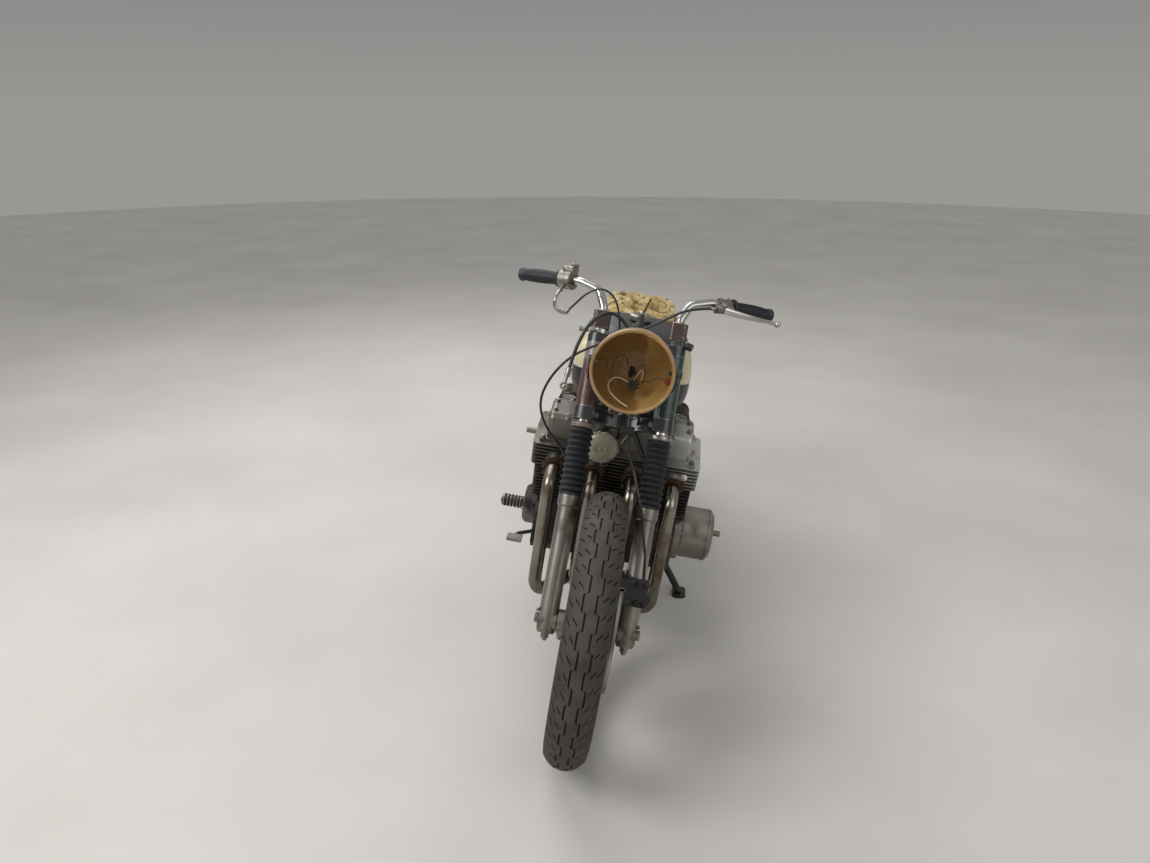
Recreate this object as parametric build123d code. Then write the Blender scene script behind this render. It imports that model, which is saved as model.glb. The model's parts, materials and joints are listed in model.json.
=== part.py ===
from build123d import *
import math
import os

# A stripped in-line four motorcycle, parked leaning on its side stand.
#
# Millimetres. The machine is drawn upright, with X to the rider's left, Y rearwards from the front
# axle and Z up from the floor. At the end every piece is leant about the line that the tyres roll
# on, and the whole is moved so that its origin is the bottom centre of its box.

# Driving sizes
WHEELBASE = 1455.0
LEAN = 8.5
RAKE = 27.0
YOKE_OFFSET = 65.7
FORK_HALF_SPREAD = 97.0
GAP = 0.3

# Wheels: tyre radius and width, rim seat radius, rim width, spokes
FRONT_TYRE_RADIUS = 331.0
FRONT_TYRE_WIDTH = 104.0
FRONT_RIM_SEAT = 241.3
FRONT_RIM_WIDTH = 54.0
REAR_TYRE_RADIUS = 327.0
REAR_TYRE_WIDTH = 112.0
REAR_RIM_SEAT = 228.6
REAR_RIM_WIDTH = 58.0
TYRE_WALL = 8.0
RIM_WALL = 4.0
RIM_WELL = 14.0
RIM_FLANGE = 12.0
SPOKES_A_SIDE = 20
SPOKE_RADIUS = 1.9
FRONT_SPOKE_LEAD = 55.0
REAR_SPOKE_LEAD = 40.0

# Hubs and axles
FRONT_AXLE_RADIUS = 7.5
REAR_AXLE_RADIUS = 8.5
FRONT_HUB_HALF = 52.0
FRONT_HUB_FLANGE_RADIUS = 66.0
REAR_HUB_HALF = 58.0
REAR_FLANGE_RADIUS = 100.0
REAR_DRUM_RADIUS = 90.0
DRUM_WALL = 9.0
HUB_FLANGE = 5.0
FLANGE_X = 29.0
REAR_FLANGE_X = 34.0
DISC_RADIUS = 148.0
DISC_THICKNESS = 7.0
DISC_X = 64.0
CALIPER_BACK = -78.0
CALIPER_UP = 106.0

# Fork, measured along the legs from the front axle
TUBE_RADIUS = 17.5
SLIDER_RADIUS = 24.0
SLIDER_TOP = 305.0
SLIDER_FOOT = -32.0
GUARD_LUG_UP = 150.0
GUARD_LUG_WIDTH = 16.0
GUARD_LUG_DEPTH = 18.0
GUARD_LUG_TALL = 34.0
GUARD_LUG_TURN = 12.0
GUARD_HOLE_RADIUS = 3.4
GUARD_HOLE_BACK = 8.0
GUARD_HOLES_APART = 16.0
GAITER_LOW = 312.0
GAITER_HIGH = 488.0
GAITER_RADIUS = 31.5
GAITER_RIBS = 11
LOWER_YOKE = 496.0
LOWER_YOKE_THICKNESS = 32.0
UPPER_YOKE = 690.0
UPPER_YOKE_THICKNESS = 22.0
FORK_TOP = 768.0
BAR_BLOCK_LOW = 728.0
BAR_BLOCK_HIGH = 772.0
BAR_BLOCK_SIZE = 44.0
BAR_BLOCK_CORNER = 9.0
STEM_RADIUS = 14.0
HEAD_TUBE_RADIUS = 29.0

# Handlebars
BAR_RADIUS = 11.1
GRIP_RADIUS = 17.0
GRIP_LENGTH = 128.0
BAR_KNEE = (116.0, 377.0, 1067.0)
BAR_BEND = (168.0, 397.0, 1078.0)
BAR_TIP = (334.0, 492.0, 1052.0)
LEVER_RADIUS = 5.0
BAR_BORE_RADIUS = 8.7
BAR_BORE_DEPTH = 60.0

# Headlamp
LAMP_RADIUS = 97.5
LAMP_DEPTH = 138.0
LAMP_WALL = 2.0
LAMP_Y = 88.0
LAMP_Z = 955.0
LAMP_TILT = 6.0
LAMP_BOLT = (LAMP_Y + 62, LAMP_Z - 6)

# Engine, from the crank axis
CRANK_Y = 600.0
CRANK_Z = 335.0
ENGINE_TILT = 12.0
CASE_HALF = 205.0
BLOCK_BASE = 90.0
BLOCK_TOP = 212.0
BLOCK_HALF = 228.0
BLOCK_DEPTH = 150.0
HEAD_TOP = 292.0
HEAD_HALF = 238.0
HEAD_DEPTH = 172.0
ROCKER_TOP = 366.0
ROCKER_HALF = 205.0
ROCKER_DEPTH = 120.0
FIN_THICKNESS = 3.5
FIN_PITCH = 11.5
PORTS = (-170.0, -56.5, 56.5, 170.0)
CLUTCH_FACE = 150.0
SUMP_HALF = 80.0
DRUM_RADIUS = 78.0
DRUM_END = 325.0
POINTS_RADIUS = 60.0
POINTS_END = -250.0

# Exhaust
HEADER_RADIUS = 19.0
HEADER_Y = 386.0
HEADER_LOW_Z = 150.0
HEADER_HIGH_Z = 190.4
COLLECTOR_Y = 640.0
COLLECTOR_X = -30.0
SILENCER_START = (-196.0, 1010.0, 204.0)
SILENCER_END = (-196.0, 1425.0, 262.0)
SILENCER_RADIUS = 43.0

# Frame
FRAME_RADIUS = 16.0
RAIL_X = 113.0
RAIL_Z = 232.0
SPINE_RADIUS = 22.0
SPINE_KNEE = (0.0, 640.0, 795.0)
SPINE_END = (0.0, 908.0, 738.0)
SEAT_RAIL_RADIUS = 13.0
SEAT_RAIL_X = 108.0
CROSS_TUBE_Y = 1060.0
CROSS_TUBE_Z = 721.0
GUARD_TUBE_Y = 1450.0
GUARD_TUBE_Z = 747.0
SWING_Y = 848.0
SWING_Z = 330.0
SWING_RADIUS = 18.0
SWING_X = 125.0
SWING_BOLT_RADIUS = 8.0
SHOCK_X = 156.0
SHOCK_TOP = (1290.0, 668.0)
SHOCK_FOOT = (1398.0, 329.0)
SHOCK_PIN = 7.0
PEG_Y = 705.0
PEG_Z = 280.0

# Tank and seat
TUNNEL_HALF = 34.0
TANK_CREST = (570.0, 952.0)
TANK_REAR_CREST = (700.0, 948.0)
CAP_Y = 620.0
CAP_DROP = 1.2
TANK_WALL = 3.0
SEAT_FRONT_Y = 914.0
SEAT_REAR_Y = 1440.0
PAN_TOP = 770.0

# Chain
CHAIN_X = 85.0
FRONT_SPROCKET_Y = 772.0
FRONT_SPROCKET_Z = 334.0
FRONT_PITCH_RADIUS = 43.2
REAR_PITCH_RADIUS = 121.4
CHAIN_HEIGHT = 14.0
CHAIN_WIDTH = 13.0

# Side stand, as it rests on the floor when the machine leans
STAND_FOOT = (280.0, 730.0)
STAND_PIVOT = (150.0, 768.0, 225.0)
STAND_RADIUS = 11.0
STAND_EYE = 12.0
STAND_BOLT = 6.0
FOOT_THICKNESS = 6.0

# Cables and the loose hose
CLUTCH_CABLE_RADIUS = 3.2
THROTTLE_CABLE_RADIUS = 2.6
HOSE_RADIUS = 4.2
PIPE_RADIUS = 3.2

RAKE_SIN = math.sin(math.radians(RAKE))
RAKE_COS = math.cos(math.radians(RAKE))
TILT_SIN = math.sin(math.radians(ENGINE_TILT))
TILT_COS = math.cos(math.radians(ENGINE_TILT))
LEAN_SIN = math.sin(math.radians(LEAN))
LEAN_COS = math.cos(math.radians(LEAN))

# Tyre crown: an arc through the shoulders, this share of the half width and of the section height
SHOULDER_WIDTH = 0.96
SHOULDER_DROP = 0.345


def crown_radius(radius, width, seat):
    """The radius of the arc on which a leaning tyre rolls."""
    half_chord = SHOULDER_WIDTH * width / 2
    rise = SHOULDER_DROP * (radius - seat)
    return (half_chord**2 + rise**2) / (2 * rise)


ROLL_HEIGHT = crown_radius(FRONT_TYRE_RADIUS, FRONT_TYRE_WIDTH, FRONT_RIM_SEAT)

# Local frames: the fork's Z runs up the legs and its Y rearwards; the engine's Z runs up the bores
FORK = Plane((0, 0, FRONT_TYRE_RADIUS), x_dir=(1, 0, 0), z_dir=(0, RAKE_SIN, RAKE_COS)).location
ENGINE = Plane((0, CRANK_Y, CRANK_Z), x_dir=(1, 0, 0), z_dir=(0, -TILT_SIN, TILT_COS)).location
REAR_AXLE = Pos(0, WHEELBASE, REAR_TYRE_RADIUS)
FRONT_AXLE = Pos(0, 0, FRONT_TYRE_RADIUS)


def along_fork(x, back, up):
    """The upright point at a place in the fork's own frame."""
    y = back * RAKE_COS + up * RAKE_SIN
    z = FRONT_TYRE_RADIUS - back * RAKE_SIN + up * RAKE_COS
    return (x, y, z)


def over_crank(x, back, up):
    """The upright point at a place in the engine's own frame."""
    y = CRANK_Y + back * TILT_COS - up * TILT_SIN
    z = CRANK_Z + back * TILT_SIN + up * TILT_COS
    return (x, y, z)


def stood_up(x, y, z):
    """The upright point that comes to (x, y, z) when the machine leans."""
    rise = z - ROLL_HEIGHT
    return (x * LEAN_COS - rise * LEAN_SIN, y, ROLL_HEIGHT + x * LEAN_SIN + rise * LEAN_COS)


def leant(x, y, z):
    """Where an upright point comes to when the machine leans."""
    rise = z - ROLL_HEIGHT
    return (x * LEAN_COS + rise * LEAN_SIN, y, ROLL_HEIGHT - x * LEAN_SIN + rise * LEAN_COS)


def group(*shapes):
    """Several solids that don't touch, as one sub-part."""
    solids = [solid for shape in shapes for solid in shape.solids()]
    return Compound(children=solids)


def both_sides(shape):
    """A piece and its mirror image on the other side of the machine."""
    return group(shape, mirror(shape, about=Plane.YZ))


def rod(start, end, radius):
    """A round bar between two points."""
    a, b = Vector(*start), Vector(*end)
    frame = Plane(origin=a, z_dir=b - a)
    bottom = (Align.CENTER, Align.CENTER, Align.MIN)
    return frame * Cylinder(radius, (b - a).length, align=bottom)


def cross_bar(x_low, x_high, y, z, radius):
    """A round bar that lies across the machine."""
    return rod((x_low, y, z), (x_high, y, z), radius)


def bent_tube(points, radius, bends):
    """A bar bent through points, with an arc of a given radius at each corner."""
    path = FilletPolyline(*points, radius=bends)
    start = Plane(origin=path @ 0, z_dir=path % 0)
    return sweep(start * Circle(radius), path=path)


def spun(outline):
    """A closed outline of (across, radius) turned about the machine's cross axis."""
    return revolve(Plane.XZ * make_face(outline), axis=Axis.X)


def turned(points):
    """A solid turned about Z from a closed outline of (radius, height)."""
    return revolve(Plane.XZ * make_face(Polyline(*points, close=True)), axis=Axis.Z)


def side_plate(outline, x_low, x_high):
    """A closed outline of (rearwards, up) given thickness across the machine."""
    face = Plane.YZ * make_face(outline)
    return Pos(x_low, 0, 0) * extrude(face, x_high - x_low)


def plan_plate(outline, z_low, z_high):
    """A closed outline of (across, rearwards) given height."""
    return Pos(0, 0, z_low) * extrude(make_face(outline), z_high - z_low)


# Wheels


def tyre(radius, width, seat, rim_width):
    """A hollow carcass, open at the beads, with a round crown."""
    height = radius - seat
    shoulder = (SHOULDER_WIDTH * width / 2, radius - SHOULDER_DROP * height)
    waist = (width / 2, seat + 0.5 * height)
    bead = (rim_width / 2, seat)
    lip = (rim_width / 2, seat + RIM_FLANGE + 3)
    inner_bead = (rim_width / 2 - TYRE_WALL, seat)
    inner_lip = (rim_width / 2 - TYRE_WALL, seat + RIM_FLANGE + 3)
    inner_waist = (width / 2 - TYRE_WALL, seat + 0.5 * height)
    inner_shoulder = (shoulder[0] - TYRE_WALL, shoulder[1] - TYRE_WALL / 2)
    crown = (0, radius)
    inner_crown = (0, radius - 1.4 * TYRE_WALL)

    def other(point):
        return (-point[0], point[1])

    outline = [
        Line(bead, lip),
        ThreePointArc(lip, waist, shoulder),
        ThreePointArc(shoulder, crown, other(shoulder)),
        ThreePointArc(other(shoulder), other(waist), other(lip)),
        Line(other(lip), other(bead)),
        Line(other(bead), other(inner_bead)),
        Line(other(inner_bead), other(inner_lip)),
        ThreePointArc(other(inner_lip), other(inner_waist), other(inner_shoulder)),
        ThreePointArc(other(inner_shoulder), inner_crown, inner_shoulder),
        ThreePointArc(inner_shoulder, inner_waist, inner_lip),
        Line(inner_lip, inner_bead),
        Line(inner_bead, bead),
    ]
    return spun(outline)


def rim(seat, width):
    """A rolled steel rim with a well, seats and turned-up flanges."""
    half = width / 2 + GAP
    top = seat - GAP
    outer = [
        (0, top - RIM_WELL),
        (9, top - RIM_WELL),
        (14, top),
        (half, top),
        (half, top + RIM_FLANGE),
        (half + RIM_WALL, top + RIM_FLANGE),
        (half + RIM_WALL, top - 1),
        (half, top - RIM_WALL),
        (16, top - RIM_WALL),
        (11, top - RIM_WELL - RIM_WALL),
        (0, top - RIM_WELL - RIM_WALL),
    ]
    points = outer + [(-x, r) for x, r in reversed(outer) if x]
    return spun(Polyline(*points, close=True))


def spokes(seat, flange_radius, flange_x, lead, clear):
    """Crossed spokes: those heading forwards lie outside the flange, the others inside it."""
    inside_rim = seat - GAP - RIM_WELL - RIM_WALL
    hole_radius = flange_radius - 5
    end_radius = inside_rim - 1.0
    made = []
    for side in (1, -1):
        for index in range(SPOKES_A_SIDE):
            outward = index % 2 == 0
            beside = HUB_FLANGE / 2 + SPOKE_RADIUS
            hub_x = flange_x + beside + clear if outward else flange_x - beside - GAP
            rim_x = 10 if outward else 4
            angle = math.radians(360 / SPOKES_A_SIDE * (index + (0.5 if side > 0 else 0)))
            turn = math.radians(lead if outward else -lead)
            start = (side * hub_x, hole_radius * math.cos(angle), hole_radius * math.sin(angle))
            aim = angle + turn
            end = (side * rim_x, end_radius * math.cos(aim), end_radius * math.sin(aim))
            made.append(rod(start, end, SPOKE_RADIUS))
    return group(*made)


def front_hub():
    """A slim hub with two spoke flanges; the brake disc seats on its left end."""
    bore = FRONT_AXLE_RADIUS + GAP
    flange = FLANGE_X
    half = HUB_FLANGE / 2
    points = [
        (-FRONT_HUB_HALF, bore),
        (-FRONT_HUB_HALF, 22),
        (-flange - half, 32),
        (-flange - half, FRONT_HUB_FLANGE_RADIUS),
        (-flange + half, FRONT_HUB_FLANGE_RADIUS),
        (-flange + half, 34),
        (flange - half, 34),
        (flange - half, FRONT_HUB_FLANGE_RADIUS),
        (flange + half, FRONT_HUB_FLANGE_RADIUS),
        (flange + half, 50),
        (FRONT_HUB_HALF, 50),
        (FRONT_HUB_HALF, bore),
    ]
    return spun(Polyline(*points, close=True))


def brake_disc():
    """A flat ring on a dished carrier with six drillings."""
    near = DISC_X - DISC_THICKNESS / 2
    far = DISC_X + DISC_THICKNESS / 2
    seat = FRONT_HUB_HALF + GAP
    points = [
        (seat, 30),
        (seat, 58),
        (near, 98),
        (near, DISC_RADIUS),
        (far, DISC_RADIUS),
        (far, 106),
        (near + 4, 98),
        (seat + 5, 56),
        (seat + 5, 30),
    ]
    disc = spun(Polyline(*points, close=True))
    for index in range(6):
        angle = math.radians(60 * index)
        y, z = 42 * math.cos(angle), 42 * math.sin(angle)
        disc -= cross_bar(seat - 5, seat + 10, y, z, 4.2)
    return disc


def rear_hub():
    """A hub whose right side is the brake drum and whose left side carries the sprocket."""
    bore = REAR_AXLE_RADIUS + GAP
    drum_inside = REAR_DRUM_RADIUS - DRUM_WALL
    flange = REAR_FLANGE_X
    half = HUB_FLANGE / 2
    points = [
        (-72, drum_inside),
        (-72, REAR_DRUM_RADIUS),
        (-flange - half, REAR_DRUM_RADIUS),
        (-flange - half, REAR_FLANGE_RADIUS),
        (-flange + half, REAR_FLANGE_RADIUS),
        (-flange + half, 48),
        (flange - half, 44),
        (flange - half, REAR_FLANGE_RADIUS),
        (flange + half, REAR_FLANGE_RADIUS),
        (flange + half, 74),
        (CHAIN_X - 3 - GAP, 66),
        (CHAIN_X - 3 - GAP, bore),
        (-38, bore),
        (-38, drum_inside),
    ]
    return spun(Polyline(*points, close=True))


# Chain and sprockets


def sprocket(pitch_radius, teeth, bore, thickness):
    """A toothed plate across the machine, whose tips stay inside the chain's rollers."""
    tip = pitch_radius - CHAIN_HEIGHT / 2 - 1.0
    blank = Circle(tip)
    for index in range(teeth):
        angle = 360 / teeth * index
        blank -= Rot(0, 0, angle) * Pos(tip + 2.5, 0) * Circle(5.0)
    blank -= Circle(bore)
    return Pos(-thickness / 2, 0, 0) * Plane.YZ.location * extrude(blank, thickness)


def belt_face(grow):
    """The area inside a loop round both sprockets, at a distance from the pitch line."""
    span = WHEELBASE - FRONT_SPROCKET_Y
    drop = REAR_TYRE_RADIUS - FRONT_SPROCKET_Z
    front = Circle(FRONT_PITCH_RADIUS + grow)
    rear = Pos(span, drop) * Circle(REAR_PITCH_RADIUS + grow)
    return make_hull(front.edges() + rear.edges())


def drive_chain():
    """The chain as one closed loop, with a channel between its side plates."""
    loop = belt_face(CHAIN_HEIGHT / 2) - belt_face(-CHAIN_HEIGHT / 2)
    groove = belt_face(CHAIN_HEIGHT / 2 + 1) - belt_face(3.0)
    solid = extrude(loop, CHAIN_WIDTH)
    solid -= Pos(0, 0, CHAIN_WIDTH / 2 - 2.5) * extrude(groove, 5.0)
    place = Pos(CHAIN_X - CHAIN_WIDTH / 2, FRONT_SPROCKET_Y, FRONT_SPROCKET_Z)
    return place * Plane.YZ.location * solid


# Fork


def guard_holes():
    """Heights of the two bolt holes in a mudguard lug."""
    return GUARD_LUG_UP - GUARD_HOLES_APART / 2, GUARD_LUG_UP + GUARD_HOLES_APART / 2


def fork_sliders():
    """Two cast sliders with a top collar, a clamp for the axle and a mudguard lug turned inward."""
    bore = TUBE_RADIUS + GAP
    profile = [
        (0, SLIDER_FOOT),
        (21, SLIDER_FOOT),
        (SLIDER_RADIUS, SLIDER_FOOT + 10),
        (SLIDER_RADIUS, SLIDER_TOP - 30),
        (SLIDER_RADIUS + 3.5, SLIDER_TOP - 26),
        (SLIDER_RADIUS + 3.5, SLIDER_TOP),
        (bore, SLIDER_TOP),
        (bore, 120),
        (0, 120),
    ]
    leg = turned(profile)
    leg += Pos(0, 0, -2) * Rot(0, 90, 0) * Cylinder(23, 44)
    middle = SLIDER_RADIUS - 5 + GUARD_LUG_DEPTH / 2
    lug = Pos(0, middle, GUARD_LUG_UP) * Box(GUARD_LUG_WIDTH, GUARD_LUG_DEPTH, GUARD_LUG_TALL)
    for up in guard_holes():
        hole = Rot(0, 90, 0) * Cylinder(GUARD_HOLE_RADIUS, GUARD_LUG_WIDTH * 2)
        lug -= Pos(0, SLIDER_RADIUS + GUARD_HOLE_BACK, up) * hole
    leg += Rot(0, 0, GUARD_LUG_TURN) * lug
    leg -= Rot(0, 90, 0) * Cylinder(FRONT_AXLE_RADIUS + GAP, 120)
    return both_sides(FORK * Pos(FORK_HALF_SPREAD, 0, 0) * leg)


def fork_tubes():
    """The two fixed tubes that slide in the legs and pass through both yokes."""
    outer = Pos(0, 0, 130) * Cylinder(
        TUBE_RADIUS, FORK_TOP - 130, align=(Align.CENTER, Align.CENTER, Align.MIN)
    )
    outer -= Pos(0, 0, 120) * Cylinder(
        TUBE_RADIUS - 3, FORK_TOP - 150, align=(Align.CENTER, Align.CENTER, Align.MIN)
    )
    return both_sides(FORK * Pos(FORK_HALF_SPREAD, 0, 0) * outer)


def fork_gaiters():
    """Two rubber bellows between the sliders and the lower yoke."""
    pitch = (GAITER_HIGH - GAITER_LOW - 16) / GAITER_RIBS
    valley = GAITER_RADIUS - 6
    bore = TUBE_RADIUS + GAP
    points = [(bore, SLIDER_TOP + GAP), (valley + 3, SLIDER_TOP + GAP), (valley + 3, GAITER_LOW)]
    for index in range(GAITER_RIBS):
        low = GAITER_LOW + pitch * index
        points.append((valley, low + 1))
        points.append((GAITER_RADIUS, low + pitch / 2))
    points.append((valley, GAITER_HIGH - 16))
    points.append((valley, GAITER_HIGH))
    points.append((bore, GAITER_HIGH))
    return both_sides(FORK * Pos(FORK_HALF_SPREAD, 0, 0) * turned(points))


def yoke_outline(eye, stem_eye):
    """The plan of a yoke: an eye for each tube and one behind them for the stem."""
    parts = [
        Pos(FORK_HALF_SPREAD, 0) * Circle(eye),
        Pos(-FORK_HALF_SPREAD, 0) * Circle(eye),
        Pos(0, YOKE_OFFSET) * Circle(stem_eye),
    ]
    edges = [edge for part in parts for edge in part.edges()]
    return make_hull(edges)


def yoke(eye, stem_eye, thickness, waist):
    """A yoke with its front scooped out between the eyes, bored for both tubes."""
    solid = extrude(yoke_outline(eye, stem_eye), thickness)
    scoop = Pos(0, -waist) * Circle(FORK_HALF_SPREAD - eye + 6)
    solid -= Pos(0, 0, -1) * extrude(scoop, thickness + 2)
    for side in (1, -1):
        hole = Circle(TUBE_RADIUS + GAP)
        solid -= Pos(side * FORK_HALF_SPREAD, 0, -1) * extrude(hole, thickness + 2)
    return solid


def lower_yoke():
    """The lower yoke with the stem that turns in the frame's head tube and its two stops."""
    solid = yoke(28, 30, LOWER_YOKE_THICKNESS, 30)
    stem = Pos(0, YOKE_OFFSET, 0) * Cylinder(
        STEM_RADIUS, UPPER_YOKE - LOWER_YOKE - GAP, align=(Align.CENTER, Align.CENTER, Align.MIN)
    )
    return FORK * Pos(0, 0, LOWER_YOKE) * (solid + stem)


def upper_yoke():
    """The upper yoke, with the stem nut on top."""
    solid = yoke(27, 28, UPPER_YOKE_THICKNESS, 34)
    nut = extrude(RegularPolygon(18, 6), 12)
    solid += Pos(0, YOKE_OFFSET, UPPER_YOKE_THICKNESS) * nut
    return FORK * Pos(0, 0, UPPER_YOKE) * solid


def stem_cap():
    """A black cone with a domed cap over the stem nut."""
    base = UPPER_YOKE + UPPER_YOKE_THICKNESS + 12 + GAP
    points = [(0, 0), (15, 0), (13, 14), (9, 30), (8, 34), (6, 38), (0, 40)]
    return FORK * Pos(0, YOKE_OFFSET, base) * turned(points)


def fork_shroud(side):
    """A sheet metal cover round the tube between the yokes, with the ear that holds the lamp."""
    low = LOWER_YOKE + LOWER_YOKE_THICKNESS + GAP
    height = UPPER_YOKE - low - GAP
    wall = 2.0
    radius = 27.0
    bottom = (Align.CENTER, Align.CENTER, Align.MIN)
    cover = Cylinder(radius, height, align=bottom)
    cover -= Pos(0, 0, wall) * Cylinder(radius - wall, height, align=bottom)
    cover -= Cylinder(TUBE_RADIUS + GAP, 2 * height)
    cover = FORK * Pos(side * FORK_HALF_SPREAD, 0, low) * cover
    ear_x = side * (LAMP_RADIUS + 8)
    lamp_y, lamp_z = LAMP_BOLT
    tube_y = along_fork(0, 0, UPPER_YOKE - 55)[1]
    outline = Polyline(
        (lamp_y - 16, lamp_z - 17),
        (lamp_y - 16, lamp_z + 17),
        (tube_y - 18, lamp_z - 22),
        (tube_y - 26, lamp_z - 84),
        close=True,
    )
    ear = side_plate(outline, ear_x - 2, ear_x + 2)
    ear -= cross_bar(ear_x - 6, ear_x + 6, lamp_y, lamp_z, 5.3)
    keep = FORK * Pos(side * FORK_HALF_SPREAD, 0, low) * Cylinder(radius - wall, 3 * height)
    return cover + (ear - keep)


def headlamp_place():
    """The lamp's own frame: Z out of its mouth, which faces forwards and a little up."""
    tilt = math.radians(LAMP_TILT)
    mouth = (0, -math.cos(tilt), math.sin(tilt))
    return Plane((0, LAMP_Y, LAMP_Z), x_dir=(1, 0, 0), z_dir=mouth).location


def headlamp_shell():
    """An empty bucket: a round bowl, open in front, with a rolled rim."""
    outer = [
        Line((0, -LAMP_DEPTH), (30, -LAMP_DEPTH)),
        ThreePointArc((30, -LAMP_DEPTH), (78, -LAMP_DEPTH * 0.72), (LAMP_RADIUS - 5, -22)),
        Line((LAMP_RADIUS - 5, -22), (LAMP_RADIUS - 5, -12)),
        Line((LAMP_RADIUS - 5, -12), (LAMP_RADIUS, -12)),
        Line((LAMP_RADIUS, -12), (LAMP_RADIUS, 0)),
        Line((LAMP_RADIUS, 0), (LAMP_RADIUS - 8, 0)),
        Line((LAMP_RADIUS - 8, 0), (LAMP_RADIUS - 5 - LAMP_WALL, -22)),
        ThreePointArc(
            (LAMP_RADIUS - 5 - LAMP_WALL, -22),
            (78 - LAMP_WALL, -LAMP_DEPTH * 0.72 + LAMP_WALL),
            (30, -LAMP_DEPTH + LAMP_WALL),
        ),
        Line((30, -LAMP_DEPTH + LAMP_WALL), (0, -LAMP_DEPTH + LAMP_WALL)),
        Line((0, -LAMP_DEPTH + LAMP_WALL), (0, -LAMP_DEPTH)),
    ]
    bowl = headlamp_place() * revolve(Plane.XZ * make_face(outer), axis=Axis.Z)
    return bowl - cross_bar(-LAMP_RADIUS, LAMP_RADIUS, *LAMP_BOLT, 5.3)


def lamp_bolts():
    """The two shouldered bolts that hold the bucket between the ears."""
    y, z = LAMP_BOLT
    inner = LAMP_RADIUS - 14
    ear = LAMP_RADIUS + 8
    bolt = cross_bar(inner, ear + 8, y, z, 5.0)
    bolt += cross_bar(LAMP_RADIUS - 3, ear - 2 - GAP, y, z, 9.0)
    bolt += cross_bar(ear + 2 + GAP, ear + 10, y, z, 9.0)
    return bolt


def bar_clamps():
    """A block on each fork top that clamps the tube and holds a bar."""
    size = BAR_BLOCK_SIZE
    upward = (Align.CENTER, Align.CENTER, Align.MIN)
    block = Box(size, size, BAR_BLOCK_HIGH - BAR_BLOCK_LOW, align=upward)
    block = fillet(block.edges().filter_by(Axis.Z), BAR_BLOCK_CORNER)
    block = Pos(0, 0, BAR_BLOCK_LOW) * block
    block -= Cylinder(TUBE_RADIUS + GAP, FORK_TOP + GAP, align=upward)
    return both_sides(FORK * Pos(FORK_HALF_SPREAD, 0, 0) * block)


def handlebars():
    """Two bent bars, one from each clamp."""
    foot = along_fork(FORK_HALF_SPREAD, 0, BAR_BLOCK_HIGH + GAP)
    collar = along_fork(FORK_HALF_SPREAD, 0, BAR_BLOCK_HIGH + GAP + 12)
    bar = bent_tube([foot, collar, BAR_KNEE, BAR_BEND, BAR_TIP], BAR_RADIUS, [24, 26, 44])
    tip, bend = Vector(*BAR_TIP), Vector(*BAR_BEND)
    inward = (bend - tip).normalized()
    bar -= rod(tuple(tip), tuple(tip + inward * BAR_BORE_DEPTH), BAR_BORE_RADIUS)
    return both_sides(bar)


def on_bar(start, length, outer):
    """A sleeve round the outer stretch of the left bar, from a distance short of its tip."""
    tip, bend = Vector(*BAR_TIP), Vector(*BAR_BEND)
    inward = (bend - tip).normalized()
    a = tip + inward * start
    b = tip + inward * (start + length)
    sleeve = rod(tuple(a), tuple(b), outer)
    return sleeve - rod(tuple(a - inward * 20), tuple(b + inward * 20), BAR_RADIUS + GAP)


def grips():
    """Two rubber grips with a flange at the inner end."""
    grip = on_bar(2, GRIP_LENGTH, GRIP_RADIUS) + on_bar(GRIP_LENGTH - 4, 6, GRIP_RADIUS + 5)
    return both_sides(grip)


def throttle_housing():
    """The two-part alloy housing inboard of the right grip."""
    body = on_bar(GRIP_LENGTH + 5, 38, 25)
    body = fillet(body.edges().filter_by(GeomType.CIRCLE).group_by(SortBy.RADIUS)[-1], 3)
    body = mirror(body, about=Plane.YZ)
    start, after = Vector(*THROTTLE_CABLE[0]), Vector(*THROTTLE_CABLE[1])
    into = (start - after).normalized()
    return body + rod(tuple(start + into * GAP), tuple(start + into * 24), 5.0)


def clutch_perch():
    """The clamp that carries the clutch lever."""
    body = on_bar(GRIP_LENGTH + 6, 38, 17)
    tip, bend = Vector(*BAR_TIP), Vector(*BAR_BEND)
    inward = (bend - tip).normalized()
    middle = tip + inward * (GRIP_LENGTH + 27)
    body += Pos(middle.X, middle.Y - 26, middle.Z - 3) * Box(34, 34, 16)
    start, after = Vector(*CLUTCH_CABLE[0]), Vector(*CLUTCH_CABLE[1])
    into = (start - after).normalized()
    body += rod(tuple(start + into * GAP), tuple(start + into * 12), 5.0)
    body -= rod(tuple(tip), tuple(bend), BAR_RADIUS + GAP)
    root, end = lever_line()
    return body - rod(root, end, LEVER_RADIUS + GAP)


def lever_line():
    """The lever's two ends, ahead of the left grip."""
    tip, bend = Vector(*BAR_TIP), Vector(*BAR_BEND)
    inward = (bend - tip).normalized()
    root = tip + inward * (GRIP_LENGTH + 26) + Vector(0, -42, -3)
    end = tip - inward * 18 + Vector(0, -66, -6)
    return tuple(root), tuple(end)


def clutch_lever():
    """A flat tapering lever with a ball end."""
    root, end = lever_line()
    return rod(root, end, LEVER_RADIUS) + Pos(*end) * Sphere(9)


def front_axle():
    """The spindle with its nut and the spacers outside the hub."""
    half = FORK_HALF_SPREAD + 32
    axle = Rot(0, 90, 0) * Cylinder(FRONT_AXLE_RADIUS, 2 * half)
    left = cross_bar(FRONT_HUB_HALF + 7, FORK_HALF_SPREAD - SLIDER_RADIUS - GAP, 0, 0, 13)
    axle += left
    axle += cross_bar(FORK_HALF_SPREAD + SLIDER_RADIUS + GAP, half, 0, 0, 12)
    axle += cross_bar(-half, -FORK_HALF_SPREAD - SLIDER_RADIUS - GAP, 0, 0, 12)
    return FRONT_AXLE * axle


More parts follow.
